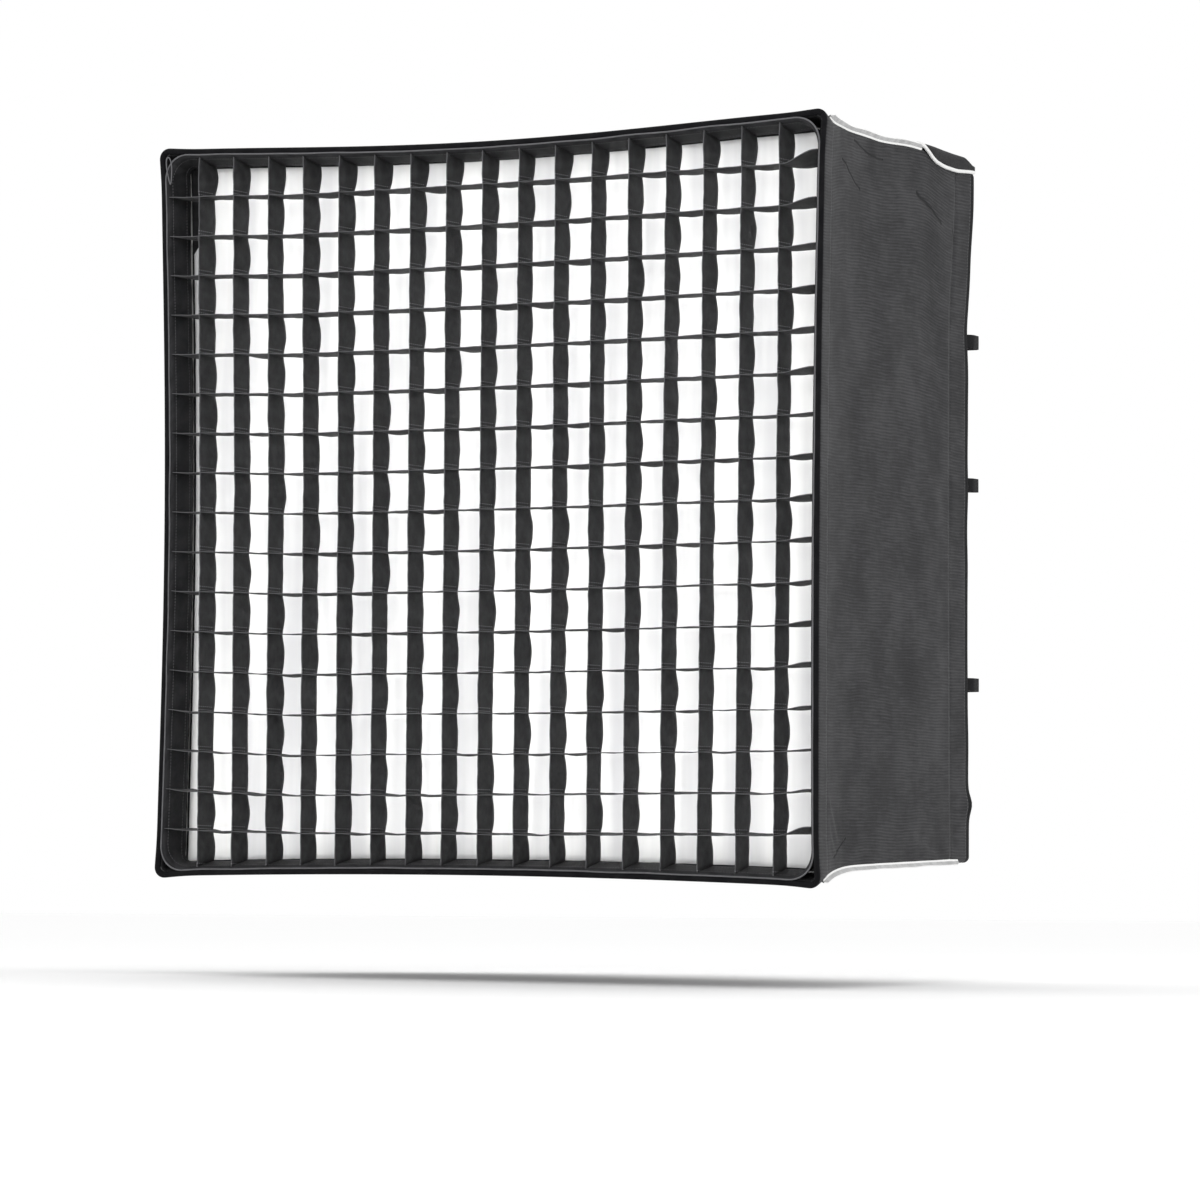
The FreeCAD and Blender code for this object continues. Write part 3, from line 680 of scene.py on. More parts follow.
def hook_material():
    """Hook-and-loop tape: a dark field of tiny loops."""
    n = Nodes("hook_and_loop", (0.015, 0.015, 0.016), 0.9, Sheen_Weight=0.15, Sheen_Roughness=0.6)
    across, back, uv = n.cloth()
    cells = n.add("ShaderNodeTexVoronoi", Scale=750.0)
    n.link(uv, cells.inputs["Vector"])
    fuzz = n.noise(uv, 260.0, 4.0, 0.7)
    n.paint(n.colours(fuzz, (0.009, 0.009, 0.010), (0.032, 0.032, 0.034)))
    n.roughen(fuzz, 0.8, 0.98)
    return n.bumped(0.9, (cells.outputs[0], 0.0005), (fuzz, 0.0004))


def cord_material(name, dark, light):
    """Braided cord: two sets of threads that wind opposite ways."""
    n = Nodes(name, light, 0.7, Sheen_Weight=0.2, Sheen_Roughness=0.5)
    along, around, uv = n.cloth()
    one = n.threads(n.math("ADD", along, around), 0.0016)
    other = n.threads(n.math("SUBTRACT", along, around), 0.0016)
    braid = n.math("MAXIMUM", one, other)
    wear = n.noise(uv, 120.0, 3.0)
    n.paint(n.colours(n.times(braid, wear), dark, light))
    n.roughen(wear, 0.6, 0.8)
    return n.bumped(0.8, (braid, 0.00020))


def solid_material(name, dark, light, roughness, scale, depth, stretch=(1.0, 1.0, 1.0)):
    """A hard material with a grain, placed by the object's own coordinates."""
    n = Nodes(name, light, roughness)
    place = n.add("ShaderNodeTexCoord").outputs["Object"]
    grain = n.add("ShaderNodeMapping", Scale=stretch)
    n.link(place, grain.inputs[0])
    fine = n.noise(grain.outputs[0], scale, 4.0, 0.6)
    wear = n.noise(place, 40.0, 3.0)
    n.paint(n.colours(n.times(fine, wear), dark, light))
    n.roughen(fine, roughness - 0.1, roughness + 0.12)
    return n.bumped(0.7, (fine, depth))


# sharp crease lines in the cloth of each side, drawn as painted shade: the run and the depth at
# both ends, and the width
CREASE_SHADE_LINES = {
    "right": [
        ((-0.4580, 0.137), (-0.444, 0.188), 0.0032), ((-0.444, 0.188), (-0.442, 0.232), 0.0028),
        ((-0.4274, 0.082), (-0.396, 0.158), 0.0028), ((-0.404, 0.335), (-0.382, 0.410), 0.0050),
        ((0.455, 0.075), (0.432, 0.120), 0.0026), ((0.375, 0.512), (0.450, 0.495), 0.0040),
        ((-0.380, 0.455), (-0.300, 0.500), 0.0030),
    ],
    "left": [
        ((-0.448, 0.080), (-0.420, 0.140), 0.0028), ((0.462, 0.120), (0.440, 0.215), 0.0030),
        ((0.425, 0.300), (0.402, 0.370), 0.0030),
    ],
    "top": [
        ((-0.450, 0.090), (-0.425, 0.170), 0.0030), ((0.455, 0.110), (0.420, 0.180), 0.0030),
        ((0.400, 0.230), (0.385, 0.330), 0.0028),
    ],
    "bottom": [
        ((-0.452, 0.085), (-0.430, 0.150), 0.0030), ((0.448, 0.095), (0.425, 0.190), 0.0030),
    ],
}
shell_cloth = shell_material("ribbed_nylon")
panel_cloth = {side: shell_material(f"ribbed_nylon_{side}", CREASE_SHADE_LINES[side]) for side in SIDES}
rim_cloth = black_material("rim_cloth", (0.003, 0.003, 0.004), (0.008, 0.008, 0.009), gloss=0.08)
hem_cloth = black_material("hem_cloth", (0.006, 0.006, 0.007), (0.016, 0.016, 0.017),
                           (HEM_STITCH,), 0.12)
flap_cloth = black_material("flap_cloth", (0.004, 0.004, 0.005), (0.019, 0.019, 0.020))
border_cloth = black_material("border_cloth", (0.010, 0.010, 0.011), (0.026, 0.026, 0.028),
                              (0.010, 0.034))
binding_cloth = black_material("binding_cloth", (0.012, 0.012, 0.013), (0.024, 0.024, 0.026),
                               (0.011,))
upright_cloth = grid_material(True)
level_cloth = grid_material(False)
lining_cloth = lining_material()
fin_cloth = fin_material()
diffuser_cloth = diffuser_material()
strap_webbing = webbing_material()
hook_tape = hook_material()
grey_cord = cord_material("grey_cord", (0.06, 0.06, 0.065), (0.21, 0.21, 0.22))
white_cord = cord_material("white_cord", (0.76, 0.76, 0.75), (0.95, 0.95, 0.94))
fibreglass = solid_material("fibreglass", (0.46, 0.45, 0.38), (0.76, 0.75, 0.68), 0.35, 900.0,
                            0.0002, (1.0, 0.02, 1.0))
socket_plastic = solid_material("socket_plastic", (0.016, 0.016, 0.018), (0.040, 0.040, 0.043),
                                0.5, 500.0, 0.0002)

# CAD nodes that are shown as they are get a material by a word in their names
KINDS = {"_rod_": fibreglass, "corner_stay": fibreglass, "corner_sockets": socket_plastic}
for node_name, node in frame["nodes"].items():
    for word, material in KINDS.items():
        if word in node_name:
            node.data.materials.clear()
            node.data.materials.append(material)

# ---- Cloth shell ----

# folds in the right side's cloth: depth and along at both ends, width and height. The other
# sides' folds are drawn below
FOLDS = {
    "right": [
        (0.105, -0.452, 0.235, -0.436, 0.0070, 0.0010),
        (0.070, -0.425, 0.160, -0.392, 0.0080, 0.0010),
        (0.280, -0.412, 0.380, -0.386, 0.0080, 0.0014),
        (0.058, 0.380, 0.100, 0.432, 0.0050, 0.0016),
        (0.060, 0.415, 0.090, 0.452, 0.0040, 0.0015),
        (0.080, 0.448, 0.170, 0.432, 0.0060, 0.0016),
        (0.330, 0.425, 0.440, 0.452, 0.0070, 0.0018),
        (0.300, 0.120, 0.430, 0.090, 0.0120, 0.0010),
    ],
}


def other_folds(seed):
    """A few soft folds that run in from the corners of a side."""
    draw = random.Random(seed)
    folds = []
    for way in (-1, 1):
        for _ in range(3):
            depth = draw.uniform(0.06, 0.12)
            along = way * draw.uniform(0.38, 0.45)
            reach = draw.uniform(0.06, 0.13)
            lean = -way * draw.uniform(0.01, 0.05)
            width = draw.uniform(0.005, 0.009)
            folds.append((depth, along, depth + reach, along + lean, width, 0.0018))
    return folds


for seed, side in enumerate(("top", "bottom", "left")):
    FOLDS[side] = other_folds(40 + seed)


def fold_height(side, along, depth):
    """The relief of a side's folds: a valley beside a lower ridge."""
    total = 0.0
    for depth_0, along_0, depth_1, along_1, width, height in FOLDS[side]:
        run, rise = depth_1 - depth_0, along_1 - along_0
        length = math.hypot(run, rise)
        share = ((depth - depth_0) * run + (along - along_0) * rise) / length ** 2
        if -0.15 < share < 1.15:
            away = ((along - along_0) * run - (depth - depth_0) * rise) / length
            fade = ease((share + 0.15) / 0.4) * ease((1.15 - share) / 0.4)
            valley = math.exp(-((away / width) ** 2))
            ridge = math.exp(-(((away - 1.6 * width) / (1.2 * width)) ** 2))
            total += fade * height * (0.7 * ridge - valley)
    return total


def panel_relief(side, angle, along, depth, edge):
    """How far the cloth of a side stands out from its plain shape. Edge is the distance from
    the corner seam."""
    inside = ease(edge / 0.05)
    behind_hem = ease((depth - 0.050) / 0.06) * ease((SEAT_DEPTH - depth) / 0.05)
    seed = angle * 0.37
    billow = 0.0030 * ripple(along * 5.0, depth * 6.0, seed) * inside * behind_hem
    slack = 0.0011 * ripple(along * 22.0, depth * 15.0, seed + 5) * inside * behind_hem
    pull = 0.0012 * ripple(depth * 42.0, along * 6.0, seed + 9) * math.exp(-edge / 0.022)
    pull *= ease((depth - 0.04) / 0.03) * ease(edge / 0.012)
    pucker = 0.0006 * ripple(along * 75.0, 3.0, seed) * math.exp(-abs(depth - HEM_STITCH) / 0.010)
    groove = -0.0009 * math.exp(-(((depth - HEM_STITCH) / 0.0022) ** 2))
    seat = -0.0004 * math.exp(-(((depth - SEAT_DEPTH) / 0.004) ** 2))
    hem = 0.0005 * (1 - ease((depth - HEM_STITCH) / 0.004)) * ease(depth / 0.012)
    folds = fold_height(side, along, depth) * ease(edge / 0.012) * ease((depth - 0.046) / 0.02)
    return billow + slack + pull + (pucker + groove) * ease(edge / 0.01) + seat + hem + folds


def hem_rolls():
    """Depths and insets round the rod sleeve's front, from inside to outside."""
    turns = [math.pi * (1 - k / 12) for k in range(13)]
    return [(HEM_RADIUS * (1 - math.sin(t)), HEM_RADIUS * (1 - math.cos(t))) for t in turns]


def sheet_rows(angle, profile, steps, relief=None, radius=None, start=0.0):
    """Rows of points and of UVs along one side, for a profile of depths and insets."""
    points = []
    uvs = []
    travelled = start
    previous = None
    for depth, inset in profile:
        outline = Outline(depth, inset, radius)
        if previous is not None:
            travelled += math.hypot(depth - previous[0], inset - previous[1])
        previous = (depth, inset)
        row = []
        row_uvs = []
        for step in steps:
            along, across, (side_way, out_way) = outline.place(step)
            lift = 0.0
            if relief is not None:
                lift = relief(along, depth, outline.seam - abs(along), inset)
            along += side_way * lift
            across += out_way * lift
            row.append(to_side(angle, along, across, depth))
            row_uvs.append((outline.run(step), travelled))
        points.append(row)
        uvs.append(row_uvs)
    return points, uvs


def outer_panel(side, angle):
    """The ribbed cloth of one side, with its front edge rolled round the rod."""
    rolled = hem_rolls()
    depths = spread(HEM_RADIUS, 0.060, 0.0035)[1:] + spread(0.060, SEAT_DEPTH + 0.0016, 0.0065)[1:]
    profile = rolled + [(depth, 0.0) for depth in depths]

    def relief(along, depth, edge, inset):
        return panel_relief(side, angle, along, depth, edge)

    points, uvs = sheet_rows(angle, profile, side_steps(150), relief,
                             start=HEM_RADIUS * (1 - math.pi))
    obj = surface(f"{side}_panel", points, uvs, panel_cloth[side], CLOTH, raised=True)
    obj.data.materials.append(rim_cloth)
    rim_faces = (len(rolled) - 3) * (len(points[0]) - 1)
    for face in obj.data.polygons[:rim_faces]:
        face.material_index = 1
    finish_piece(obj, "shell", [f"outer_panel_{side}"])


def front_hem(side, angle):
    """The inner layer of the rod sleeve."""
    profile = [(depth, HEM_INSET) for depth in spread(HEM_RADIUS, HEM_DEPTH, 0.0035)]

    def relief(along, depth, edge, inset):
        wrinkle = 0.0005 * ripple(along * 40.0, depth * 20.0, angle + 3.0)
        return -abs(wrinkle) * ease((HEM_DEPTH - depth) / 0.01)

    points, uvs = sheet_rows(angle, profile, side_steps(90), relief, start=HEM_RADIUS)
    obj = surface(f"{side}_hem", points, uvs, hem_cloth, LINING)
    finish_piece(obj, "shell", [f"front_hem_{side}"])


def lining(side, angle):
    """White cloth inside a panel, a little slack behind the diffuser's tape."""
    profile = [(depth, HEM_INSET) for depth in spread(LINING_START, SEAT_DEPTH - 0.0005, 0.009)]

    def relief(along, depth, edge, inset):
        behind = ease((depth - 0.075) / 0.05) * ease((SEAT_DEPTH - 0.02 - depth) / 0.05)
        slack = 0.5 + 0.5 * ripple(along * 7.0, depth * 9.0, angle * 0.2)
        return -0.0028 * abs(slack) * behind * ease(edge / 0.04)

    points, uvs = sheet_rows(angle, profile, side_steps(90), relief, start=LINING_START)
    obj = surface(f"{side}_lining", points, uvs, lining_cloth, LINING)
    finish_piece(obj, "shell", [f"lining_{side}"])


def collar(side, angle):
    """The lip, the wall and the turned rear edge of the collar, as one strip of cloth."""
    lip_face = SEAT_DEPTH + 0.0003
    profile = [(lip_face, inset) for inset in spread(LIP_INSET, 0.0022, 0.0015)]
    profile += [(lip_face + 0.0001, 0.0010), (lip_face + 0.0006, 0.0003)]
    wall_end = REAR_DEPTH - 0.0018
    profile += [(depth, 0.0) for depth in spread(lip_face + 0.002, wall_end, 0.004)]
    for k in range(1, 7):
        turn = math.pi * k / 6
        profile.append((wall_end + TURNED_EDGE * math.sin(turn),
                        TURNED_EDGE * (1 - math.cos(turn))))
    inner = 2 * TURNED_EDGE
    profile += [(depth, inner) for depth in spread(wall_end - 0.003, wall_end - 0.016, 0.004)]

    def relief(along, depth, edge, inset):
        wall = ease((depth - lip_face - 0.001) / 0.010)
        swell = 0.0012 * ripple(along * 14.0, depth * 10.0, angle + 20.0)
        bulge = 0.0050 * math.exp(-(((along - 0.385) / 0.014) ** 2)) if side == "right" else 0.0
        bulge *= ease((depth - SEAT_DEPTH - 0.03) / 0.03)
        seat = -0.0004 * math.exp(-(((depth - lip_face) / 0.004) ** 2))
        inside = ease(edge / 0.02)
        return (swell * inside * wall + bulge + seat * inside) * ease((depth - lip_face) / 0.001)

    points, uvs = sheet_rows(angle, profile, side_steps(150), relief, start=SEAT_DEPTH - 0.009)
    obj = surface(f"{side}_collar", points, uvs, shell_cloth, CLOTH)
    obj.data.materials.append(rim_cloth)
    for face in obj.data.polygons:
        if face.center.y > front_y + REAR_DEPTH - RIM_WIDTH:
            face.material_index = 1
    finish_piece(obj, "shell", [f"collar_{side}"])


def seam_tape(corner, angle):
    """White tape folded over a corner seam, standing out like a fin."""
    end = FLAP_FRONT - 0.026 if corner.startswith("top") else SEAT_DEPTH + 0.026
    half_gap = 0.0007
    diagonal = math.sqrt(0.5)
    rows = []
    uvs = []
    for depth in spread(SEAM_TAPE_START, end, 0.004):
        outline = Outline(depth, 0.0)
        base = outline.seam * math.sqrt(2)
        fade = ease((depth - 0.024) / 0.016) * ease((end + 0.002 - depth) / 0.012)
        reach = SEAM_TAPE_REACH + 0.0006 * ripple(depth * 12.0, angle, 0.0)
        reach *= 0.30 + 0.70 * fade
        lean = 0.0010 * ripple(depth * 20.0, angle + 7.0, 2.0)
        section = [
            (-0.0002, -0.0024), (0.0009, -0.0019), (0.0012, -0.0010),
            (reach * 0.5, -half_gap), (reach, -half_gap * 0.9), (reach + 0.0006, 0.0),
            (reach, half_gap * 0.9), (reach * 0.5, half_gap), (0.0012, 0.0011),
            (0.0009, 0.0019), (-0.0002, 0.0024),
        ]
        row = []
        for out, aside in section:
            aside += lean * max(0.0, out) / 0.008
            drop = abs(aside) if out < 0.0011 else 0.0
            distance = base + out - drop * 0.9 + 0.0006
            along = (distance * diagonal) + aside * diagonal
            across = (distance * diagonal) - aside * diagonal
            row.append(to_side(angle, along, across, depth))
        rows.append(row)
        uvs.append([(0.0022 * k, depth) for k in range(len(section))])
    obj = surface(f"{corner}_seam_tape", rows, uvs, fin_cloth, SEAM_TAPE, offset=0.0,
                  raised=True)
    finish_piece(obj, "shell", ["corner_seam_tapes"])


def ring_tape(name, depth, inset, body, replaced):
    """A band of tape along each inner side, as one object."""
    profile = [(d, inset) for d in spread(depth, depth + TAPE_WIDTH, 0.005)]
    steps = [(0.95 * k / 40, 0.0) for k in range(-40, 41)]
    strips = []
    for side, angle in SIDES.items():
        points, uvs = sheet_rows(angle, profile, steps)
        strips.append(surface(f"{name}_{side}", points, uvs, hook_tape, TAPE))
    finish_piece(joined(name, strips), body, [replaced])


def corner_place(angle, depth):
    """A point just inside the round corner after a side."""
    inset = max(ROD_INSET, 0.0026 + corner_radius(depth) * (1 - math.sqrt(0.5)))
    half = half_size(depth) - inset
    return to_side(angle, half, half, depth)


def front_rod(side, angle):
    """The sprung rod in one side of the front sleeve."""
    outline = Outline(ROD_DEPTH, ROD_INSET, 0.001)
    reach = outline.half - 0.012
    line = []
    for along in spread(-reach, reach, 0.012):
        line.append(to_side(angle, along, outline.half - outline.bow(along), ROD_DEPTH))
    obj = tube(f"{side}_front_rod", line, ROD_RADIUS, fibreglass)
    finish_piece(obj, "shell", [f"front_rod_{side}"])


def corner_socket(corner, angle):
    """An elbow that takes the ends of two front rods."""
    outline = Outline(ROD_DEPTH, ROD_INSET, 0.001)
    line = []
    for along in spread(outline.half - SOCKET_LENGTH, outline.half - 0.010, 0.003):
        line.append(to_side(angle, along, outline.half - outline.bow(along), ROD_DEPTH))
    line.append(to_side(angle, outline.half - 0.0035, outline.half - 0.0035, ROD_DEPTH))
    for along in spread(outline.half - 0.010, outline.half - SOCKET_LENGTH, 0.003):
        line.append(to_side(angle + 90, -along, outline.half - outline.bow(along), ROD_DEPTH))
    return tube(f"{corner}_socket", line, SOCKET_RADIUS, socket_plastic, sides=12)


def corner_stay(corner, angle):
    """The rod that runs back inside a corner seam."""
    line = [corner_place(angle, depth) for depth in spread(0.014, SEAT_DEPTH - 0.012, 0.015)]
    obj = tube(f"{corner}_stay", line, ROD_RADIUS, fibreglass)
    finish_piece(obj, "shell", [f"corner_stay_{corner}"])


for side, angle in SIDES.items():
    front_rod(side, angle)
sockets = joined("front_sockets", [corner_socket(*corner) for corner in CORNERS.items()])
finish_piece(sockets, "shell", ["front_corner_sockets"])
for corner, angle in CORNERS.items():
    corner_stay(corner, angle)
for side, angle in SIDES.items():
    outer_panel(side, angle)
    front_hem(side, angle)
    lining(side, angle)
    collar(side, angle)
for corner, angle in CORNERS.items():
    seam_tape(corner, angle)
ring_tape("grid_loop_band", GRID_TAPE_DEPTH, LOOP_INSET, "shell", "grid_loop_tape")
ring_tape("grid_hook_band", GRID_TAPE_DEPTH, HOOK_INSET, "grid", "grid_hook_tape")
ring_tape("diffuser_loop_band", DIFFUSER_TAPE_DEPTH, LOOP_INSET, "shell", "diffuser_loop_tape")

# ---- Diffuser ----


def diffuser():
    """The white cloth, with faint upright folds."""
    outline = Outline(DIFFUSER_DEPTH, BORDER_INSET, 0.001)
    count = 120
    shares = [2 * k / count - 1 for k in range(count + 1)]
    points = []
    uvs = []
    for up in reversed(shares):
        row = []
        row_uvs = []
        for across in shares:
            x = across * (outline.half - outline.sag * (1 - up * up))
            z = up * (outline.half - outline.sag * (1 - across * across))
            edge = ease((1 - max(abs(up), abs(across))) / 0.08)
            fold = 0.0009 * ripple(x * 26.0, z * 1.5, 4.0) + 0.0012 * ripple(x * 3.0, z * 3.0, 8.0)
            row.append((x, front_y + DIFFUSER_DEPTH + 0.0004 + fold * edge, z))
            row_uvs.append((x, z))
        points.append(row)
        uvs.append(row_uvs)
    obj = surface("diffuser_sheet", points, uvs, diffuser_cloth, DIFFUSER, offset=0.0)
    finish_piece(obj, "diffuser", ["diffuser_cloth"])


def diffuser_binding():
    """The black tape sewn round the diffuser: over its face, and back along its side."""
    strips = []
    face = DIFFUSER_DEPTH - 0.0011
    profile = [(face, HOOK_INSET + BINDING_WIDTH * (1 - k / 6)) for k in range(6)]
    profile += [(face + 0.0002, HOOK_INSET + 0.0008), (face + 0.0010, HOOK_INSET + 0.0002)]
    profile += [(depth, HOOK_INSET) for depth in spread(face + 0.003, 0.069, 0.005)]
    for side, angle in SIDES.items():

        def relief(along, depth, edge, inset):
            lip = max(0.0, (inset - HOOK_INSET) / BINDING_WIDTH)
            wrinkle = 0.0005 * abs(ripple(along * 55.0, angle + 1.0, 6.0))
            wide = 0.0150 * ease((along - 0.355) / 0.020) if side == "left" else 0.0
            return -(wrinkle + wide) * lip if depth < face + 0.0001 else 0.0

        points, uvs = sheet_rows(angle, profile, side_steps(90, 2), relief, 0.001)
        strips.append(surface(f"binding_{side}", points, uvs, binding_cloth, BINDING))
    obj = joined("diffuser_binding", strips)
    finish_piece(obj, "diffuser", ["diffuser_hook_tape"])


diffuser()
diffuser_binding()

# ---- Fabric grid ----


def closed_loop(depth, inset, radius, steps):
    """The four sides of an outline as one closed ring of points, with the distance along it."""
    outline = Outline(depth, inset, radius)
    ring = []
    for angle in SIDES.values():
        start = 2 * outline.run(steps[-1]) * (angle / 90) + outline.run(steps[-1])
        for step in steps[:-1]:
            along, across, out = outline.place(step)
            ring.append((angle, along, across, out, start + outline.run(step)))
    return ring, 8 * outline.run(steps[-1])


def grid_border():
    """One band round the grid, with round corners and a slightly slack back edge."""
    steps = side_steps(108, 10)
    points = []
    uvs = []
    for depth in spread(GRID_FRONT - 0.0012, GRID_BACK, 0.0038):
        back = (depth - GRID_FRONT) / (GRID_BACK - GRID_FRONT)
        ring, length = closed_loop(depth, BORDER_INSET, GRID_CORNER * (1 - 0.6 * ease(back)), steps)
        row = []
        row_uvs = []
        for angle, along, across, (side_way, out_way), run in ring:
            slack = 0.5 + 0.5 * ripple(run * 11.0, depth * 9.0, 31.0)
            crease = abs(ripple(run * 60.0, depth * 8.0, 37.0))
            lift = -(0.0024 * slack * back + 0.0010 * crease * ease(back / 0.4))
            lift += FLARE * (1 - ease((depth - GRID_FRONT + 0.0012) / 0.005))
            row.append(to_side(angle, along + side_way * lift, across + out_way * lift, depth))
            row_uvs.append((run, depth))
        row_uvs.append((row_uvs[0][0] + length, depth))
        points.append(row)
        uvs.append(row_uvs)
    obj = surface("grid_border_band", points, uvs, border_cloth, GRID_CLOTH, wrap=True)
    finish_piece(obj, "grid", [f"grid_border_{side}" for side in SIDES])


def grid_piping():
    """The grey cord sewn along the border's front edge."""
    steps = side_steps(60, 8)
    depth = GRID_FRONT - 0.0014
    ring, _ = closed_loop(depth, BORDER_INSET - FLARE + 0.0002, GRID_CORNER, steps)
    line = []
    for angle, along, across, (side_way, out_way), run in ring:
        lift = 0.0005 * ripple(run * 18.0, 2.0, 51.0)
        line.append(to_side(angle, along + side_way * lift, across + out_way * lift, depth))
    obj = tube("grid_piping", line, GREY_CORD, grey_cord, closed=True)
    finish_piece(obj, "grid", ["grid_edge_piping"])


def strip_end(depth, offset, angle):
    """How far a strip reaches from the middle before it meets one side of the border."""
    outline = Outline(depth, BORDER_INSET + 0.0006, GRID_CORNER)
    return outline.half - outline.bow(offset) - bow_change(angle, offset, depth)


def level_drop(right, up):
    """How far the level strips hang below their even places."""
    drop = 0.0010 + 0.0044 * ease((right + 0.43) / 0.16) * (1 - ease((right + 0.05) / 0.50))
    drop += 0.0026 * ease(-up / 0.40) * ease(-right / 0.35)
    return drop * (1 - 0.6 * ease((-up - 0.40) / 0.05))


# how far the front edge of some level strips is pulled up at the right end
END_RISE = {8: 0.0150, 7: 0.0080, 3: 0.0060, -4: 0.0055, -7: 0.0050, -8: 0.0110}


def grid_strip(number, upright):
    """One strip of the grid. Its cloth is held at each crossing and slack in between."""
    offset = number * CELL_PITCH
    kind = 0.0 if upright else 100.0
    draw = random.Random(700 + number + (0 if upright else 50))
    end_cells = STRIPS_EACH_WAY + 1
    cells = {}
    for cell in range(-end_cells, end_cells + 1):
        if upright:
            cells[cell] = (draw.uniform(0.0003, 0.0042), draw.uniform(-0.0008, 0.0014))
        else:
            slack = 1.0 if draw.random() < 0.28 else 0.25
            cells[cell] = (draw.uniform(0.0006, 0.0036) * slack,
                           draw.uniform(0.0010, 0.0036) * slack)
    if upright:
        cells[STRIPS_EACH_WAY] = (draw.uniform(0.0030, 0.0068), 0.0)
    end_rise = END_RISE.get(number, draw.uniform(0.0010, 0.0045))
    depth_steps = spread(0.0, 1.0, 1 / 9)
    along_steps = spread(-1.0, 1.0, 2 / 180)
    points = []
    uvs = []
    for share in depth_steps:
        depth = GRID_FRONT + (GRID_BACK - GRID_FRONT) * share
        ends = (180, 0) if upright else (270, 90)
        reaches = [strip_end(depth, offset, angle) for angle in ends]
        row = []
        row_uvs = []
        for k in along_steps:
            along = k * reaches[k > 0]
            drop = level_drop(offset, along) if upright else level_drop(along, offset)
            drop *= ease((1 - abs(k)) / 0.08)
            place = (along + drop if upright else along) / CELL_PITCH
            cell = math.floor(place)
            inside = math.sin(math.pi * (place - cell))
            free = ease((1 - abs(k)) / 0.02)
            back_amount, belly_amount = cells[max(-end_cells, min(end_cells, cell))]
            back = share ** 1.6 * inside ** 1.2
            front = 0.0011 * ripple(cell * 3.3, number * 5.1, kind + 9) * inside * (1 - share)
            belly = math.sin(math.pi * share) * inside
            shift = 0.0009 * ripple(along * 9.0, number * 3.7, kind) * share
            shift += 0.0004 * ripple(along * 70.0, number * 1.9 + share, kind)
            if upright:
                aside = back_amount * back + belly_amount * belly + shift + front
                wave = 0.0006 * inside * ripple(along * 30.0, number, 3.0)
                lean = -0.005 * ease(along / 0.40) * ease(-offset / 0.45)
                point = (offset + aside + lean, front_y + depth + wave, along)
            else:
                aside = shift - back_amount * back - belly_amount * belly
                aside += 0.0004 * share * (1 - inside) - 0.0014 * share * ease(offset / 0.30)
                aside += 0.0028 * share * ease((-offset - 0.24) / 0.18)
                pinch = end_rise * (1 - share) ** (0.6 if number == 8 else 1.5)
                pinch *= ease((k - 0.895) / 0.09)
                droop = 0.0005 * inside * (1 - share) + drop
                point = (along, front_y + depth, offset + (aside - droop) * free + pinch)
            row.append(point)
            row_uvs.append((along + drop if upright else along, depth - GRID_FRONT))
        points.append(row)
        uvs.append(row_uvs)
    way = "upright" if upright else "level"
    node = "grid_strips_vertical" if upright else "grid_strips_horizontal"
    cloth = upright_cloth if upright else level_cloth
    name = f"{way}_strip_{number + STRIPS_EACH_WAY + 1:02d}"
    obj = surface(name, points, uvs, cloth, GRID_CLOTH, offset=0.0)
    finish_piece(obj, "grid", [node])


def pull_loop():
    """A long loop of the same cord, hanging at the grid's top left corner."""
    outline = Outline(GRID_FRONT, BORDER_INSET, GRID_CORNER)
    top_x = 0.0032 - outline.half
    top_z = outline.half - 0.0010
    line = []
    for k in range(28):
        turn = 2 * math.pi * k / 28
        width = 0.0038 * (1 + 0.45 * math.cos(turn))
        x = top_x + width * math.sin(turn) + 0.002 * (1 - math.cos(turn)) / 2
        z = top_z - 0.0175 + 0.0175 * math.cos(turn)
        line.append((x, front_y - 0.0002 - 0.0004 * math.sin(turn), z))
    obj = tube("pull_loop", line, LOOP_CORD, grey_cord, closed=True)
    finish_piece(obj, "grid", ["grid_pull_loop"])


grid_border()
grid_piping()
for number in range(-STRIPS_EACH_WAY, STRIPS_EACH_WAY + 1):
    grid_strip(number, True)
    grid_strip(number, False)
pull_loop()

# ---- Rear corner flaps ----


def flap_front_edge(drop):
    """The depth of the flap's front edge, which slants back as it comes down the side."""
    return FLAP_FRONT - 0.023 + 0.036 * ease(drop / FLAP_DROP * 0.8)


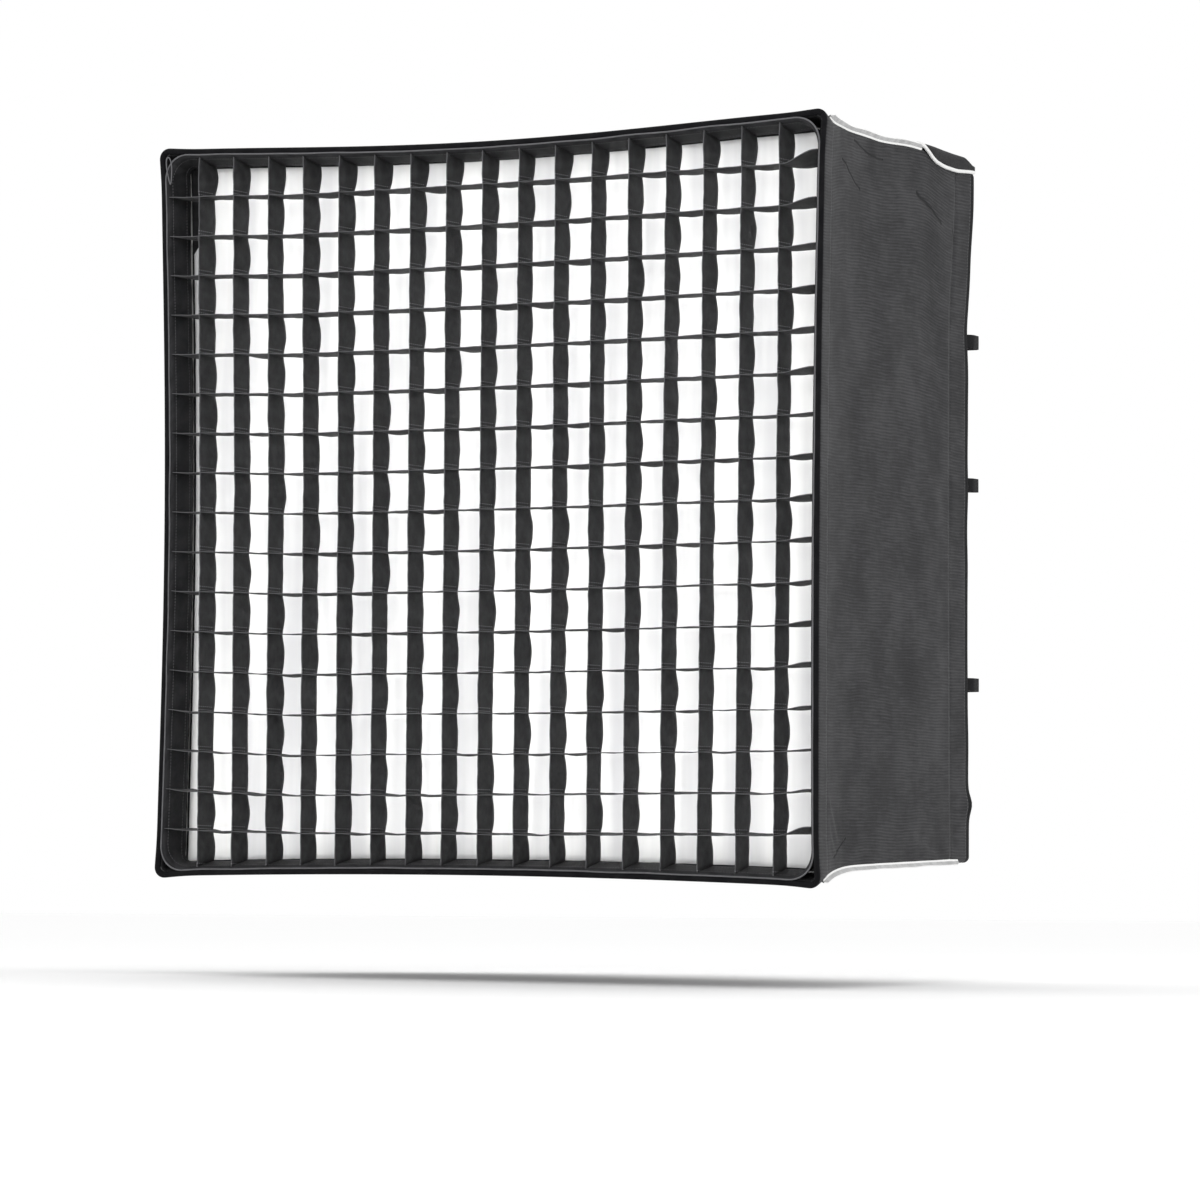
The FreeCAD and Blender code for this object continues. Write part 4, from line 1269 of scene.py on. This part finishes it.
def corner_flap(side, way):
    """A soft angle of cloth over a rear top corner. Its points are returned for the piping along
    its free edge.
    """
    inner_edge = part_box(f"corner_flap_{side}")[0 if way > 0 else 1].x * way - FLAP_OVERLAP
    half_rear = half_size(FLAP_FRONT) + FLAP_CLEAR
    top_run = half_rear - FLAP_BEND - inner_edge
    bend_run = FLAP_BEND * math.pi / 2
    total = top_run + bend_run + FLAP_DROP - FLAP_BEND
    points = []
    uvs = []
    for share in spread(0.0, 1.0, 1 / 34):
        row = []
        row_uvs = []
        for run in spread(0.0, total, 0.0028):
            if run < top_run:
                x, z, down = inner_edge + run, half_rear, 0.0
                out = (0.0, 1.0)
            elif run < top_run + bend_run:
                turn = (run - top_run) / FLAP_BEND
                out = (math.sin(turn), math.cos(turn))
                x = half_rear - FLAP_BEND + FLAP_BEND * out[0]
                z = half_rear - FLAP_BEND + FLAP_BEND * out[1]
                down = half_rear - z
            else:
                down = FLAP_BEND + run - top_run - bend_run
                x, z = half_rear, half_rear - down
                out = (1.0, 0.0)
            start = flap_front_edge(down)
            depth = start + (REAR_DEPTH - 0.001 - start) * share
            shrink = half_rear - (half_size(depth) + FLAP_CLEAR)
            lift = 0.0010 * (0.6 + ripple(run * 22.0, depth * 16.0, way * 3.0))
            lift *= ease(run / 0.02)
            outer = ease(run / top_run)
            side_share = ease(down / 0.016)
            puff = FLAP_PUFF - 0.0080 * ease((share - 0.82) / 0.18) * (1 - side_share)
            puff = (puff - ear_rise(depth)) * outer
            sink = 0.0030 * ease(share / 0.25) - 0.0046 * ease((share - 0.45) / 0.55)
            puff -= sink * side_share
            x = x - shrink * outer + out[0] * lift
            z = z - shrink + out[1] * lift - outline_dip(x, depth) + puff
            row.append((x * way, front_y + depth, z))
            row_uvs.append((run, depth))
        points.append(row)
        uvs.append(row_uvs)
    obj = surface(f"{side}_corner_flap", points, uvs, flap_cloth, CLOTH, offset=1.0)
    if way > 0:
        obj.data.flip_normals()
    return obj, points


def outline_dip(x, depth):
    """How far the top panel's bow lies below its corners at a place."""
    outline = Outline(depth, 0.0)
    return outline.bow(min(abs(x), outline.seam)) * 0.8


def flap_with_piping(side, way):
    """A flap with the cord along its front and outer edges."""
    obj, points = corner_flap(side, way)
    front_edge = [Vector(p) for p in points[0]]
    outer_edge = [Vector(row[-1]) for row in points]
    start = next(i for i, p in enumerate(front_edge) if p.x * way > half_size(0.4) - 0.012)
    line = front_edge[start:] + outer_edge[1:]
    smooth = []
    for i in range(len(line)):
        near = line[max(0, i - 2):i + 3]
        smooth.append(sum(near, Vector()) / len(near))
    piping = tube(f"{side}_flap_piping", smooth, WHITE_CORD, white_cord)
    body = f"corner_flap_{side}"
    height = half_size(FLAP_FRONT)
    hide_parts(body)
    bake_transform(obj)
    finish_piece(piping, body, [f"flap_piping_{side}"])


flap_with_piping("right", 1)
flap_with_piping("left", -1)

# ---- Rear straps ----


def rear_strap(side, way, level):
    """Webbing sewn to the collar, bending inwards behind the lamp, with its hook pad."""
    height = STRAP_HEIGHTS[level] * rear_half
    body = f"rear_strap_{side}_{level}"
    low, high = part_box(body)
    back_y = high.y - 0.00075
    tip = min(abs(low.x), abs(high.x))
    collar_x = rear_half - 0.0056 - REAR_SAG * (1 - (height / rear_half) ** 2)
    rear_y = front_y + REAR_DEPTH
    line = [(collar_x + 0.0070 * ease((y - rear_y - 0.001) / 0.014), y)
            for y in spread(rear_y - 0.026, back_y - STRAP_BEND, 0.004)]
    bend_x = line[-1][0]
    for k in range(1, 9):
        turn = math.pi / 2 * k / 8
        line.append((bend_x - STRAP_BEND * (1 - math.cos(turn)),
                     back_y - STRAP_BEND * (1 - math.sin(turn))))
    line += [(x, back_y) for x in spread(bend_x - STRAP_BEND, tip, 0.004)[1:]]
    seed = STRAP_HEIGHTS[level] * 10 + way
    shares = [k / 8 - 0.5 for k in range(9)]
    points = []
    uvs = []
    run = 0.0
    for i, (x, y) in enumerate(line):
        if i:
            run += math.dist(line[i - 1], line[i])
        free = ease((run - 0.035) / 0.05)
        wander = 0.0016 * ripple(run * 18.0, seed, 0.0) * free
        row = []
        for share in shares:
            cup = 0.0005 * (2 * share) ** 2
            up = height + share * STRAP_WIDTH + wander
            row.append((x * way, y - cup * free + wander * 0.5, up))
        points.append(row)
        uvs.append([(share * STRAP_WIDTH, run) for share in shares])
    obj = surface(f"{side}_{level}_strap", points, uvs, strap_webbing, WEBBING, offset=0.0)
    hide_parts(body)
    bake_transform(obj)
    pad_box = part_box(f"strap_hook_pad_{side}_{level}")
    pad_steps = [(k / 6 - 0.5) * PAD_WIDTH for k in range(7)]
    places = spread(pad_box[0].x, pad_box[1].x, 0.003)
    points = [[(x, pad_box[1].y - 0.0004, height + step) for step in pad_steps] for x in places]
    uvs = [[(x, step) for step in pad_steps] for x in places]
    pad = surface(f"{side}_{level}_strap_hooks", points, uvs, hook_tape, HOOK_PAD, offset=1.0)
    finish_piece(pad, body, [f"strap_hook_pad_{side}_{level}"])


for side, way in (("right", 1), ("left", -1)):
    for level in STRAP_HEIGHTS:
        rear_strap(side, way, level)

# ---- Floor, light and camera ----

FLOOR_HEIGHT = -1.05
FLOOR_REACH = 60.0
CAMERA_PLACE = (3.4285, -6.5680, -0.4834)
CAMERA_RIGHT = Vector((0.882776, 0.469808, 0.003137))
CAMERA_UP = Vector((0.021331, -0.046750, 0.998679))
LENS = 161.6
# each light's place, the place that it shines at, its size and its power
LIGHTS = {
    "lamp": ((0, front_y + 0.075, 0), (0, -1, 0), 0.93, 7.2),
    "key": ((1.2, -3.6, 2.6), (0.2, 0, 0), 2.0, 40.0),
    "side": ((4.2, 0.6, 0.6), (0.4, 0, 0), 1.6, 14.0),
}


def floor():
    """A pale floor, well below the softbox."""
    ends = (-FLOOR_REACH, FLOOR_REACH)
    points = [[(x, y, FLOOR_HEIGHT) for x in ends] for y in ends]
    uvs = [[(x, y) for x in ends] for y in ends]
    n = Nodes("pale_floor", (0.93, 0.93, 0.93), 0.85)
    place = n.add("ShaderNodeTexCoord").outputs["Object"]
    n.paint(n.colours(n.noise(place, 0.6, 3.0), (0.97, 0.97, 0.97), (0.985, 0.985, 0.985)))
    obj = surface("floor", points, uvs, n.material)


def area_light(name, place, target, size, power):
    """A square light that the camera doesn't see."""
    data = bpy.data.lights.new(name, "AREA")
    data.shape = "SQUARE"
    data.size = size
    data.energy = power
    obj = bpy.data.objects.new(name, data)
    obj.location = place
    obj.rotation_euler = (Vector(target) - Vector(place)).to_track_quat("-Z", "Y").to_euler()
    obj.visible_camera = False
    bpy.context.scene.collection.objects.link(obj)


def camera():
    """A long lens a little to the right and below, level with the softbox's lower edge."""
    data = bpy.data.cameras.new("camera")
    data.sensor_width = 36.0
    data.lens = LENS
    data.clip_end = 300.0
    obj = bpy.data.objects.new("camera", data)
    turn = Matrix((CAMERA_RIGHT, CAMERA_UP, CAMERA_RIGHT.cross(CAMERA_UP))).transposed()
    obj.matrix_world = Matrix.Translation(CAMERA_PLACE) @ turn.to_4x4()
    bpy.context.scene.collection.objects.link(obj)
    bpy.context.scene.camera = obj


def world():
    """Even white light from all round."""
    data = bpy.data.worlds.new("world")
    data.use_nodes = True
    background = data.node_tree.nodes["Background"]
    background.inputs["Color"].default_value = (1, 1, 1, 1)
    background.inputs["Strength"].default_value = 1.0
    bpy.context.scene.world = data
    bpy.context.scene.view_settings.view_transform = "Standard"


floor()
world()
camera()
for name, light in LIGHTS.items():
    area_light(name, *light)
